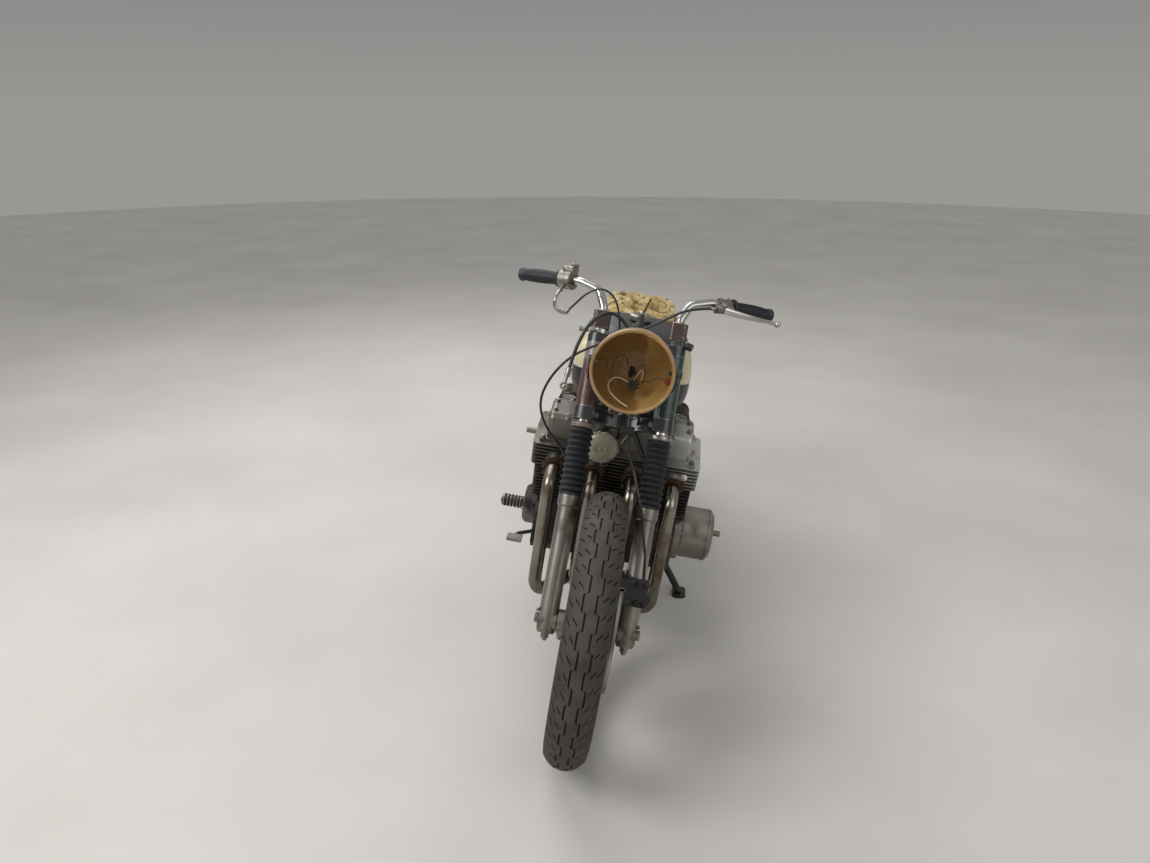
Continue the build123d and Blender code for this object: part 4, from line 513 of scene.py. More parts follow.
# %% Brake hose
HOSE_RADIUS = 4.2
HOSE_ROUTE = [
    fork_point(14, -34, 493.4),
    fork_point(14, -34, 528),
    (10, 236, 862),
    (4, 262, 905),
    (-4, 283, 943),
    (-15, 297, 978),
    (-32, 304, 1008),
    (-56, 302, 1029),
    (-84, 291, 1035),
    (-108, 272, 1023),
    (-126, 250, 1000),
    (-138, 229, 969),
    (-146, 212, 936),
    (-150, 202, 906),
]
brake_hose = lead("brake_hose_line", HOSE_ROUTE, HOSE_RADIUS, HOSE_BLACK, "front_fork")
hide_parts("brake_hose")
print("hose", round(curve_length(brake_hose), 3), "m")

# %% [markdown]
# ## Making shapes
# Most of the hardware on a machine was turned on a lathe, milled from bar or bent from tube. The
# helpers work the same way. Each gives a bmesh in the upright drawing, and one call at the end leans
# it, meshes it and rides it on its body.


# %% Lathe and one mesh
def place(shape, at, along=(0, 0, 1), roll=0.0):
    """Stands a shape that was drawn about Z at a point, along a direction."""
    aim = Vector(along).to_track_quat("Z", "Y").to_matrix().to_4x4()
    shape.transform(Matrix.Translation(at) @ aim @ Matrix.Rotation(roll, 4, "Z"))
    return shape


def turned(profile, at=(0, 0, 0), along=(0, 0, 1), steps=32, roll=0.0):
    """A shape turned on a lathe from a profile of (radius, height)."""
    shape = bmesh.new()
    points = [shape.verts.new((radius, 0, height)) for radius, height in profile]
    edges = [shape.edges.new(pair) for pair in zip(points, points[1:])]
    bmesh.ops.spin(
        shape, geom=points + edges, cent=(0, 0, 0), axis=(0, 0, 1), angle=math.tau, steps=steps,
        use_merge=True,
    )
    bmesh.ops.remove_doubles(shape, verts=shape.verts, dist=0.0005)
    return place(shape, at, along, roll)


def gather(shapes):
    """Several shapes as one."""
    whole = bmesh.new()
    scrap = bpy.data.meshes.new("scrap")
    for shape in shapes:
        shape.to_mesh(scrap)
        shape.free()
        whole.from_mesh(scrap)
    bpy.data.meshes.remove(scrap)
    return whole


print("a washer has", len(turned([(2, 0), (4, 0), (4, 1), (2, 1), (2, 0)]).faces), "faces")


# %% From a drawn shape to a finished piece
def piece(shape, name, material, body, slot, instead=(), sharp=38):
    """Leans a finished shape, makes it an object with a finish, and rides it on a body."""
    bmesh.ops.recalc_face_normals(shape, faces=shape.faces)
    shape.transform(STAND)
    mesh = bpy.data.meshes.new(name)
    shape.to_mesh(mesh)
    shape.free()
    mesh.materials.append(material)
    mesh.shade_smooth()
    mesh.set_sharp_from_angle(angle=math.radians(sharp))
    made = add_object(name, mesh)
    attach(made, body)
    if instead:
        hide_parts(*instead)
    print(name, len(mesh.polygons), "faces")
    return made


# %% [markdown]
# ## Two wheels, one set of names
# The front tyre is the taller and narrower one, and the rear hub is a wide drum. Everything on a
# wheel is made by the same functions, so its sizes stand here once, in the upright drawing.

# %% Sizes of the wheels
WHEELS = {
    "front": SimpleNamespace(
        centre=Vector((0, 0, AXLE_HEIGHT)), radius=331.0, width=104.0, seat=241.3, rim_width=54.0, pitches=26,
        flange_radius=66.0, flange_x=29.0, spoke_lead=55.0, spoke_clear=2.2, valve_seat=222,
    ),
    "rear": SimpleNamespace(
        centre=Vector((0, 1455, 327)), radius=327.0, width=112.0, seat=228.6, rim_width=58.0, pitches=24,
        flange_radius=100.0, flange_x=34.0, spoke_lead=40.0, spoke_clear=3.6, valve_seat=209,
    ),
}
print("wheelbase", round((WHEELS["rear"].centre - WHEELS["front"].centre).y), "mm")

# %% [markdown]
# ## Tyres
# The tread is what the camera sees first: two grooves that step from side to side round the crown,
# and short slanting blades on both shoulders. One step of the pattern is modelled flat as a grid, its
# grooves are pressed in with an inset, the tile is rolled onto the crown's arc, and a spin lays it
# round the tyre. Cutting grooves into a finished ring would take hundreds of slow booleans.

# %% One tile of tread
TREAD_COLUMNS = (0, 6, 12.2, 16.8, 23.5, 30, 36.5, 41, 48.5, 56)
COLUMN_SWING = {6: 0.5, 12.2: 1.0, 16.8: 1.0, 23.5: 0.3}
STEPPED_GROOVE, INNER_BLADES, OUTER_BLADES = 12.2, (23.5, 30), (41, 48.5)
TREAD_ROWS = (0, 0.05, 0.11, 0.19, 0.23, 0.27, 0.34, 0.40, 0.5, 0.55, 0.61, 0.69, 0.73, 0.77, 0.84, 0.90, 1)
ROW_SWING = (4.6,) * 5 + (-4.6,) * 8 + (4.6,) * 4
BLADE_ROWS = ((1, 9), (6, 14))
BLADE_SLANT, SLANT_FROM = 1.1, 22
GROOVE_DEPTH, GROOVE_WALL = 3.8, 0.4


def tread_tile(pitch, swing):
    """One flat step of the tread: X across in mm, Y along, grooves pressed in along Z."""
    columns = [-column for column in reversed(TREAD_COLUMNS[1:])] + list(TREAD_COLUMNS)
    wide, long = len(columns) - 1, len(TREAD_ROWS) - 1
    tile = bmesh.new()
    bmesh.ops.create_grid(tile, x_segments=wide, y_segments=long, size=0.5)
    grooves = []
    for face in tile.faces:
        middle = face.calc_center_median()
        column = int((middle.x + 0.5) * wide)
        row = int((middle.y + 0.5) * long)
        inner = min(abs(columns[column]), abs(columns[column + 1]))
        inner_rows, outer_rows = BLADE_ROWS if columns[column] >= 0 else BLADE_ROWS[::-1]
        blades = (INNER_BLADES, inner_rows), (OUTER_BLADES, outer_rows)
        bladed = any(inner in blade and row in rows for blade, rows in blades)
        if inner == STEPPED_GROOVE or bladed:
            grooves.append(face)
    for vert in tile.verts:
        column = columns[round((vert.co.x + 0.5) * wide)]
        row = round((vert.co.y + 0.5) * long)
        across = column + swing * ROW_SWING[row] * COLUMN_SWING.get(abs(column), 0.0)
        slant = BLADE_SLANT * max(0.0, abs(across) - SLANT_FROM)
        vert.co = (across, TREAD_ROWS[row] * pitch + slant, 0)
    bmesh.ops.inset_region(
        tile, faces=grooves, thickness=GROOVE_WALL, depth=-GROOVE_DEPTH, use_boundary=False,
        use_even_offset=True,
    )
    if min(vert.co.z for vert in tile.verts) > -1:
        # The grooves stand up where the grid's faces point down, so the tile is turned over.
        bmesh.ops.scale(tile, vec=(1, 1, -1), verts=tile.verts)
    return tile


print("a tile has", 2 * len(TREAD_COLUMNS) - 2, "by", len(TREAD_ROWS) - 1, "faces before its grooves")


# %% Helpers for rings and arcs
def grow(shape, edges):
    """Extrudes a ring of edges, and gives the new points and the new ring."""
    grown = bmesh.ops.extrude_edge_only(shape, edges=edges)["geom"]
    verts = {item for item in grown if isinstance(item, bmesh.types.BMVert)}
    ring = [item for item in grown if isinstance(item, bmesh.types.BMEdge) and set(item.verts) <= verts]
    return verts, ring


def arc_points(first, middle, last, count):
    """Points along the arc through three points, without the first."""
    (ax, ay), (bx, by), (cx, cy) = first, middle, last
    a, b, c = ax * ax + ay * ay, bx * bx + by * by, cx * cx + cy * cy
    d = 2 * (ax * (by - cy) + bx * (cy - ay) + cx * (ay - by))
    ux = (a * (by - cy) + b * (cy - ay) + c * (ay - by)) / d
    uy = (a * (cx - bx) + b * (ax - cx) + c * (bx - ax)) / d
    start = math.atan2(ay - uy, ax - ux)
    half = (math.atan2(by - uy, bx - ux) - start + math.pi) % math.tau - math.pi
    rest = (math.atan2(cy - uy, cx - ux) - start - half + math.pi) % math.tau - math.pi
    reach = math.hypot(ax - ux, ay - uy)
    angles = [start + (half + rest) * step / count for step in range(1, count + 1)]
    return [(ux + reach * math.cos(angle), uy + reach * math.sin(angle)) for angle in angles]


half_turn = arc_points((1, 0), (0, 1), (-1, 0), 2)
print("half a circle in two steps:", [(round(x, 3), round(y, 3)) for x, y in half_turn])

# %% The tile rolled up, with sidewalls and beads
CHORD_SHARE, RISE_SHARE = 0.48, 0.345
WALL_STEPS, WALL_RIBS, RIB_PROUD = 12, (2, 5, 9), 0.9
BEAD = ((-0.2, 8), (-0.4, 0), (-7, 0))


def rolled(shape, age, radius, crown):
    """Rolls a flat tread onto its crown's arc and round the wheel, and marks how worn each point is."""
    for vert in shape.verts:
        across, along, depth = vert.co
        roll, turn = across / crown, along / radius
        reach = radius - crown + (crown + depth) * math.cos(roll)
        bare = 1.0 - 0.45 * (across / TREAD_COLUMNS[-1]) ** 2
        vert[age] = 0.0 if depth < -0.5 * GROOVE_DEPTH else bare
        vert.co = ((crown + depth) * math.sin(roll), reach * math.sin(turn), reach * math.cos(turn))


def treaded_tyre(end, wheel):
    """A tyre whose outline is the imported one, with tread, sidewall ribs and closed beads."""
    radius, seat, half_rim, pitches = wheel.radius, wheel.seat, wheel.rim_width / 2, wheel.pitches
    half_chord, rise = CHORD_SHARE * wheel.width, RISE_SHARE * (radius - seat)
    crown = (half_chord**2 + rise**2) / (2 * rise)
    tyre = tread_tile(math.tau * radius / pitches, wheel.width / WHEELS["front"].width)
    age = tyre.verts.layers.float.new("worn")
    rolled(tyre, age, radius, crown)
    everything = tyre.verts[:] + tyre.edges[:] + tyre.faces[:]
    bmesh.ops.spin(
        tyre, geom=everything, cent=(0, 0, 0), axis=(-1, 0, 0), angle=math.tau * (pitches - 1) / pitches,
        steps=pitches - 1, use_duplicate=True,
    )
    bmesh.ops.remove_doubles(tyre, verts=tyre.verts, dist=0.05)
    lip = (half_rim, seat + 15)
    waist = (wheel.width / 2, seat + 0.5 * (radius - seat))
    shoulder = (half_chord, radius - rise)
    last = TREAD_COLUMNS[-1] / crown
    wall = [(crown * math.sin(angle), radius - crown + crown * math.cos(angle))
            for angle in (last + 0.04, last + 0.08)]
    wall.append(shoulder)
    for number, (x, reach) in enumerate(arc_points(shoulder, waist, lip, WALL_STEPS)):
        proud = RIB_PROUD if number in WALL_RIBS else 0.0
        wall.append((x - RIB_PROUD + proud, reach))
    wall += [(half_rim + inward, seat + up) for inward, up in BEAD]
    loops = []
    for side in (1, -1):
        edges = [edge for edge in tyre.edges if edge.is_boundary and edge.verts[0].co.x * side > 20]
        for x, reach in wall:
            verts, edges = grow(tyre, edges)
            for vert in verts:
                turn = math.atan2(vert.co.y, vert.co.z)
                vert[age] = 0.3
                vert.co = (side * x, reach * math.sin(turn), reach * math.cos(turn))
        loops += edges
    bmesh.ops.bridge_loops(tyre, edges=loops)
    bmesh.ops.translate(tyre, vec=wheel.centre, verts=tyre.verts)
    piece(tyre, f"{end}_tyre_tread", TYRE_RUBBER, f"{end}_wheel", "tyre_rubber", [f"{end}_tyre"], sharp=30)


# %% [markdown]
# The rubber's colour follows its wear. An attribute made with the tread says where the road rubbed
# it, so dust greys the crown, grooves stay dark, and the sidewall is in between. Noise alone would
# lay the same dust into the grooves.

# %% Tyre rubber
TYRE_RUBBER, tree, shader = new_material("tyre_rubber")
worn = node(tree, "Attribute", attribute_name="worn").outputs["Fac"]
patch = spread(tree, clouds(tree, 22.0, 8.0, 0.65), 0.36, 0.62)
dust = times(tree, worn, plus(tree, 0.45, patch, 0.5))
rubber = blend(tree, dust, colour("#110f0e"), colour("#4c463f"))
stains = use(tree, GRIME, {"Scale": 14.0, "Cover": 0.35})["Mask"]
rubber = blend(tree, times(tree, stains, 0.5), rubber, colour("#4a4139"))
tree.links.new(rubber, shader.inputs["Base Color"])
tree.links.new(plus(tree, 0.62, dust, 0.2), shader.inputs["Roughness"])
bump(tree, shader, use(tree, GRAIN, {"Scale": 900.0, "Depth": 0.6})["Height"], 0.4, 0.0006)
print("tyre rubber", len(tree.nodes), "nodes")

# %% Both tyres
for end, wheel in WHEELS.items():
    treaded_tyre(end, wheel)

# %% [markdown]
# ## Laced wheels
# Forty spokes cross in each wheel and every one ends in a nipple under the rim. The spokes are
# packed; the nipples are turned here, small and with few faces because there are eighty of them. The
# valve shows which way up a wheel stands.


# %% Spoke nipples and valves
SPOKES_A_SIDE = 20
NIPPLE = [(3.8, 0), (3.8, 1.5), (2.9, 3), (2.9, 12), (2.0, 15)]


def nipples(wheel):
    """A nipple at the rim end of every spoke."""
    made = []
    root, rim = wheel.flange_radius - 5, wheel.seat - 18.3
    for side in (1, -1):
        for index in range(SPOKES_A_SIDE):
            outward = index % 2 == 0
            hub_x = wheel.flange_x + 4.4 + wheel.spoke_clear if outward else wheel.flange_x - 4.7
            angle = math.radians(18 * (index + (0.5 if side > 0 else 0)))
            aim = angle + math.radians(wheel.spoke_lead if outward else -wheel.spoke_lead)
            start = Vector((side * hub_x, root * math.cos(angle), root * math.sin(angle)))
            at_rim = Vector((side * (10 if outward else 4), rim * math.cos(aim), rim * math.sin(aim)))
            made.append(turned(NIPPLE, wheel.centre + at_rim, (start - at_rim).normalized(), steps=8))
    return gather(made)


for end, wheel in WHEELS.items():
    piece(nipples(wheel), f"{end}_spoke_nipples", DULL_CHROME, f"{end}_wheel", "chrome")
VALVE = [(0, 0), (4.2, 0), (4.2, 6), (2.6, 7), (2.6, 26), (4.0, 27), (4.0, 36), (2.5, 38), (0, 38)]
VALVE_TURN = 0.62
lean_back = Vector((0, math.sin(VALVE_TURN), math.cos(VALVE_TURN)))
for end, wheel in WHEELS.items():
    valve = turned(VALVE, wheel.centre + lean_back * wheel.valve_seat, -lean_back, steps=12)
    piece(valve, f"{end}_valve", PLASTIC_BLACK, f"{end}_wheel", "rubber")

# %% [markdown]
# ## Fork and brake
# The sliders end in a nut at the foot, the gaiters are held by bands, the yoke is closed by pinch
# bolts and the caliper by its own. Without these small turned and hexagonal pieces a casting reads
# as a mere shape.


# %% Blocks, bolts and screws
def block(size, at, edge=1.0, along=(0, 0, 1), roll=0.0):
    """A block with broken edges."""
    shape = bmesh.new()
    bmesh.ops.create_cube(shape, size=1.0)
    bmesh.ops.scale(shape, vec=size, verts=shape.verts)
    bmesh.ops.bevel(
        shape, geom=shape.edges[:], offset=edge, segments=2, profile=0.5, affect="EDGES", material=-1
    )
    return place(shape, at, along, roll)


WASHER_TALL = 1.2


def hexagon(at, along, across=10.0, tall=6.0, washer=0.0):
    """A bolt head or nut, with a washer under it if that has a radius."""
    shape = bmesh.new()
    reach = across / 2 / math.cos(math.pi / 6)
    bmesh.ops.create_cone(shape, cap_ends=True, segments=6, radius1=reach, radius2=reach, depth=tall)
    lift = tall / 2 + (WASHER_TALL if washer else 0)
    bmesh.ops.translate(shape, vec=(0, 0, lift), verts=shape.verts)
    rim = [edge for edge in shape.edges if min(v.co.z for v in edge.verts) > tall * 0.7]
    bmesh.ops.bevel(
        shape, geom=rim, offset=across * 0.07, segments=2, profile=0.5, affect="EDGES", material=-1
    )
    parts = [shape]
    if washer:
        parts.append(turned([(0, 0), (washer, 0), (washer, WASHER_TALL), (0, WASHER_TALL)], steps=16))
    return place(gather(parts), at, along)


def screw(at, along, radius=4.0, tall=3.0):
    """A round screw head with a cross recess."""
    shape = turned([(radius, 0), (radius, tall * 0.5), (radius * 0.8, tall), (radius * 0.3, tall)], steps=12)
    floor_ring = [edge for edge in shape.edges if edge.is_boundary and edge.verts[0].co.z > tall * 0.9]
    bmesh.ops.holes_fill(shape, edges=floor_ring)
    top_face = max(shape.faces, key=lambda face: face.calc_center_median().z)
    bmesh.ops.inset_region(shape, faces=[top_face], thickness=radius * 0.08, depth=-tall * 0.5)
    return place(shape, at, along)


print("a bolt on its washer has", len(hexagon((0, 0, 0), (0, 0, 1), washer=8).faces), "faces")

# %% Bands, nuts and bolts on the fork
LEG_X, BAND_UP = 97, 475
BAND = [(25.7, 0), (28.6, 0), (29.2, 2), (29.2, 9), (28.6, 11), (25.7, 11), (25.7, 0)]
STUD = [(0, 0), (6, 0), (6, 16), (4.5, 19), (0, 19)]
PINKISH = finish("primed_band", "#6b5550", "#7b6560", "#3c302b", rough=0.5, cover=0.35, patch=30, wear=0.5)
parts = [turned(BAND, fork_point(LEG_X, 0, BAND_UP), FORK_UP, steps=48)]
parts.append(block((9, 8, 9), fork_point(LEG_X + 25, -17, BAND_UP + 5.5), 1.5, FORK_UP))
piece(gather(parts), "gaiter_band_left", STEEL, "front_fork", "steel")
right_band = turned(BAND, fork_point(-LEG_X, 0, BAND_UP), FORK_UP, steps=48)
piece(right_band, "gaiter_band_right", PINKISH, "front_fork", "maroon_paint")
parts = []
for side in (1, -1):
    foot = fork_point(side * LEG_X, 0, -32)
    parts.append(hexagon(foot, -FORK_UP, 19, 11, washer=13))
    parts.append(turned(STUD, foot, -FORK_UP, steps=16))
    parts.append(hexagon(fork_point(side * 121, -6, 20), Vector((side, 0, 0)), 8, 5, washer=5.5))
    parts.append(hexagon(fork_point(side * 70, -3, 512), FORK_FRONT, 12, 7, washer=8))
    parts.append(hexagon(fork_point(side * LEG_X, 0, 772), FORK_UP, 26, 7))
    for up in (735, 762):
        parts.append(screw(fork_point(side * 110, -22, up), FORK_FRONT, 4.2, 3.5))
piece(gather(parts), "fork_bolts", STEEL, "front_fork", "steel")

# %% Bolts, bleed screw and piston cap on the caliper
BLEED_SCREW = [(0, 0), (6, 0), (6, 5), (3.5, 6), (3.5, 15), (2.5, 17), (0, 17)]
PISTON_CAP = [(0, 0), (17, 0), (17, 2.5), (12, 4), (0, 4)]
parts = []
for x, up in ((100, 84), (100, 128), (118, 84), (118, 128)):
    parts.append(hexagon(fork_point(x, -105.2, up), FORK_FRONT, 11, 6, washer=7.5))
parts.append(turned(BLEED_SCREW, fork_point(70, -92, 138.5), FORK_UP, steps=14))
parts.append(turned(PISTON_CAP, fork_point(131, -78, 106), (1, 0, 0), steps=32))
piece(gather(parts), "caliper_bolts", DARK_STEEL, "front_fork", "steel")

# %% [markdown]
# ## Lamp bucket
# The lamp is missing and the bucket is empty: an amber bowl with a rolled rim painted paler as a painted
# highlight, a plate with two eyelets in its back and a tangle of thin leads that once fed the bulb, with
# the bulb's spring holder still on them. Each lead is a curve, because a drawn wire is one: a few points
# and a round section.


# %% Rim of the bucket
LAMP_BACK, LAMP_HEIGHT, LAMP_TILT = 88, 955, math.radians(6)


def lamp_point(across, up, out):
    """A point in the lamp: across, up its face and out of its mouth."""
    y = LAMP_BACK + up * math.sin(LAMP_TILT) - out * math.cos(LAMP_TILT)
    return Vector((across, y, LAMP_HEIGHT + up * math.cos(LAMP_TILT) + out * math.sin(LAMP_TILT)))


LAMP_OUT = (lamp_point(0, 0, 1) - lamp_point(0, 0, 0)).normalized()
# The rim's paler amber is a painted highlight along the rolled bead; the back plate takes the same finish.
RIM_GOLD = finish("amber_rim", "#ab8754", "#937041", "#54401f", rough=0.32, cover=0.3, patch=14, dust=0.15,
                  wear=0.3, coat=0.3)
LAMP_BEAD = [(90.2, -1.5), (91.5, 1.6), (94, 2.6), (96.6, 1.6), (97.9, -1), (97.9, -12.5)]
BACK_PLATE = [(0, -135.6), (24, -135.6), (26, -134.4), (27, -134.4), (28, -135.6)]
EYELET = [(5.2, -0.4), (6.4, 0.6), (7.6, 0.2), (8, -0.6)]
lamp_rim = turned(LAMP_BEAD, lamp_point(0, 0, 0), LAMP_OUT, steps=96)
piece(lamp_rim, "lamp_rim", RIM_GOLD, "front_fork", "amber_steel")
back_plate = [turned(BACK_PLATE, lamp_point(0, 0, 0), LAMP_OUT, steps=48)]
for across, up in ((-14, 9), (13, 7)):
    back_plate.append(turned(EYELET, lamp_point(across, up, -135.2), LAMP_OUT, steps=24))
piece(gather(back_plate), "lamp_back_plate", RIM_GOLD, "front_fork", "amber_steel")

# %% Leads in the bucket
LAMP_LEADS = {
    "lamp_lead_arch": (1.0, BROWN_LEAD, [
        (-47, -50, -72), (-50, -20, -78), (-44, 14, -82), (-30, 24, -86), (-16, 12, -90), (-10, -10, -84),
        (-6, -26, -78)]),
    "lamp_lead_loop": (1.0, BROWN_LEAD, [
        (14, -44, -74), (9, -22, -70), (12, 4, -68), (21, 12, -68), (30, 2, -70), (31, -22, -72),
        (27, -44, -76)]),
    "lamp_lead_side": (1.0, BROWN_LEAD, [
        (-86, 17, -26), (-82, 8, -40), (-70, 12, -56), (-62, 4, -66), (-60, -12, -74), (-50, -30, -78),
        (-20, -38, -78)]),
    "lamp_lead_small": (0.9, PALE_LEAD, [
        (6, -36, -70), (14, -10, -62), (22, -2, -60), (28, -14, -64), (22, -34, -70)]),
    "lamp_lead_plug": (1.1, BROWN_LEAD, [
        (20, -34, -70), (34, -24, -56), (44, -27, -46), (56, -10, -40), (68, -8, -34), (79, -12, -30)]),
    "lamp_lead_pale": (1.6, PALE_LEAD, [
        (-4, -38, -72), (-26, -28, -66), (-44, -32, -60), (-52, -46, -50), (-46, -60, -40), (-28, -72, -28),
        (-6, -82, -20), (2, -84, -18)]),
}
for name, (radius, material, route) in LAMP_LEADS.items():
    lead(name, [lamp_point(*mark) for mark in route], radius, material, "front_fork")
print(len(LAMP_LEADS), "leads in the bucket")

# %% Bent bar
def swept(points, sizes, steps=12, up=(0, 0, 1)):
    """A bar through points; sizes gives its half width and half height at each."""
    points = [Vector(point) for point in points]
    stations = []
    for index, (point, (wide, high)) in enumerate(zip(points, sizes)):
        ahead = points[min(index + 1, len(points) - 1)] - points[max(index - 1, 0)]
        depth = ahead.normalized()
        side = depth.cross(Vector(up)).normalized()
        lift = side.cross(depth).normalized()
        turn = Matrix((side * wide, lift * high, depth)).transposed().to_4x4()
        stations.append(Matrix.Translation(point) @ turn)
    shape = bmesh.new()
    bmesh.ops.create_circle(shape, cap_ends=False, segments=steps, radius=1)
    shape.transform(stations[0])
    edges = shape.edges[:]
    for before, after in zip(stations, stations[1:]):
        verts, edges = grow(shape, edges)
        bmesh.ops.transform(shape, matrix=after @ before.inverted(), verts=list(verts))
    bmesh.ops.holes_fill(shape, edges=[edge for edge in shape.edges if edge.is_boundary])
    return shape


straight = swept([(0, 0, 0), (0, 1, 0), (0, 2, 0)], [(1, 1)] * 3)
print("a bar through three points has", len(straight.faces), "faces")

# %% Bulb holder and connector
HOLDER = [(0, 0), (12, 0), (12, 4), (9, 5), (9, 15), (11, 16), (11, 18), (0, 18)]
holder_at = lamp_point(8, -42, -78)
holder = [turned(HOLDER, holder_at, LAMP_OUT, steps=28)]
for across, up in ((-15, 3), (-6, -10), (14, 4), (16, -6)):
    ear = [holder_at + Vector((across * t, 0, up * t)) + LAMP_OUT * (6 + 4 * t) for t in (0.5, 0.8, 1.1)]
    holder.append(swept(ear, [(1.1, 1.1)] * 3, steps=8, up=LAMP_OUT))
piece(gather(holder), "bulb_holder", DARK_STEEL, "front_fork", "steel")
connector = [block((12, 18, 7), lamp_point(84, -13, -31), 1.6, LAMP_OUT, roll=0.3)]
connector.append(block((7, 9, 9), lamp_point(78, -12, -31), 1.2, LAMP_OUT, roll=0.3))
piece(gather(connector), "lamp_connector", RED_PLUG, "front_fork", "lamp_plastic")

# %% [markdown]
# ## Paint that follows the machine's own lines
# The bucket, the shrouds and the tank are painted in areas, not all over: the bucket has painted shade,
# darker on one side, with a painted highlight band, one shroud is maroon greying at the top and the other
# green with a painted reflection streak, the tank is black with cream sides, and the head has a painted
# highlight at one end. A Mapping node turns the lean back, so each area is measured in upright
# millimetres, like the pieces.


# %% Measuring on the upright drawing
def upright(tree):
    """X, Y and Z on the upright drawing in millimetres, at each point of a surface."""
    turn_back = Matrix.Rotation(-LEAN, 3, "Y")
    offset = Vector((0, 0, AXLE_HEIGHT)) - turn_back @ (AXLE * 1000)
    laid = node(tree, "Mapping", {
        "Vector": spot_on(tree), "Location": offset, "Rotation": (0, -LEAN, 0), "Scale": (1000, 1000, 1000),
    })
    return node(tree, "SeparateXYZ", {0: laid.outputs[0]}).outputs


def step_up(tree, value, at, soft=2.0):
    """0 below a value and 1 above it, with a soft edge."""
    return spread(tree, value, at - soft, at + soft)


def between(tree, value, low, high, soft=1.5):
    """1 between two values."""
    above = step_up(tree, value, low, soft)
    return sums(tree, "SUBTRACT", above, step_up(tree, value, high, soft), clamp=True)


def sway(tree, scale, reach):
    """Soft noise round zero, to make a drawn edge wander."""
    return times(tree, sums(tree, "SUBTRACT", clouds(tree, scale), 0.5), reach)


print("the lean of", round(math.degrees(LEAN), 1), "degrees is turned back for paint")


# %% Paint on the bucket, the shrouds and the head
def bucket_paint_and_painted_light(tree):
    """Amber lacquer with painted shade, darker towards the rider's right, and a painted highlight in one pale
    band.
    """
    swayed = sums(tree, "ADD", upright(tree)["X"], sway(tree, 11.0, 60.0))
    return ramp(tree, spread(tree, swayed, -97.0, 97.0), [
        (0.0, "#6b5230"), (0.25, "#8b6b3c"), (0.45, "#957341"), (0.57, "#9d7a46"), (0.61, "#cba66a"),
        (0.78, "#b89156"), (1.0, "#8d6d3d"),
    ])


def shroud_paint_and_reflection(tree):
    """Maroon brown turning grey above a wandering line near the top on the rider's right; dark green with a
    painted reflection streak on the left.
    """
    at = upright(tree)
    uneven = sway(tree, 16.0, 150.0)
    # Above a wandering line near the top the brown turns grey.
    paler_mask = step_up(tree, sums(tree, "ADD", at["Z"], uneven), 892, 14)
    brown = blend(tree, paler_mask, colour("#4d2f27"), colour("#77706a"))
    green = ramp(tree, clouds(tree, 9.0), [(0.35, "#14302b"), (0.65, "#27453d")])
    # The pale streak along the green tube is a painted reflection.
    reflection_streak = between(tree, plus(tree, at["X"], uneven, 0.06), 72, 79, 1.0)
    green = blend(tree, reflection_streak, green, colour("#8b918c"))
    return blend(tree, step_up(tree, at["X"], 0), brown, green)


def head_metal_with_highlight(tree):
    """Cast alloy, dull on the rider's right, brighter on the left end as a painted highlight."""
    lit_end = step_up(tree, sums(tree, "ADD", upright(tree)["X"], sway(tree, 9.0, 120.0)), 140, 40)
    dull = ramp(tree, clouds(tree, 4.0), [(0.32, "#87837b"), (0.68, "#5c5852")])
    return blend(tree, lit_end, dull, colour("#b3b2af"))


print("areas drawn on the bucket, the shrouds and the head")

# %% Paint on the tank
PANEL_LOW, PANEL_HIGH, PANEL_FRONT, PANEL_BACK = 915, 1003, 380, 700
PANEL_FALL, PANEL_INNER, PANEL_LINE = 0.16, 62, 5


def tank_paint(tree):
    """Black, with a cream panel on each shoulder inside a silver line."""
    at = upright(tree)
    fall = plus(tree, at["Z"], at["Y"], PANEL_FALL)
    shoulder = step_up(tree, sums(tree, "ABSOLUTE", at["X"], 0.0), PANEL_INNER, 1.0)

    def panel(grow_by):
        across = between(tree, fall, PANEL_LOW - grow_by, PANEL_HIGH + grow_by, 0.6)
        along = between(tree, at["Y"], PANEL_FRONT - grow_by, PANEL_BACK + grow_by, 0.6)
        return times(tree, times(tree, across, along), shoulder)

    black = ramp(tree, clouds(tree, 7.0), [(0.3, "#070708"), (0.7, "#0e0f11")])
    framed = blend(tree, panel(PANEL_LINE), black, colour("#b9b7ae"))
    cream = ramp(tree, clouds(tree, 20.0), [(0.3, "#b9ae8a"), (0.7, "#cfc5a2")])
    return blend(tree, panel(0), framed, cream)


print("cream panels", PANEL_BACK - PANEL_FRONT, "mm long")

# %% The painted finishes
GRIMY_ALLOY = finish("grimy_alloy", "#000000", "#000000", "#27231e", metal=0.88, rough=0.4, cover=0.56,
                     patch=6.5, dust=0.28, grain=(800.0, 0.5), scratch=0.4, paint=head_metal_with_highlight)
AMBER = finish("amber_bucket", "#000000", "#000000", "#5a3a1a", rough=0.3, cover=0.28, patch=17, dust=0.2,
               dust_colour="#8c7a58", coat=0.35, scratch=0.4, paint=bucket_paint_and_painted_light)
SHROUD = finish("shroud_paint_and_reflection", "#000000", "#000000", "#241d19", rough=0.36, cover=0.3, patch=14, dust=0.3,
                wear=0.5, coat=0.25, scratch=0.4, paint=shroud_paint_and_reflection)
TANK = finish("tank_paint", "#000000", "#000000", "#1f1c18", rough=0.38, cover=0.3, patch=9, dust=0.18,
              dust_colour="#55514a", wear=0.3, coat=0.1, scratch=0.5, paint=tank_paint)
print("painted:", AMBER.name, SHROUD.name, TANK.name, GRIMY_ALLOY.name)
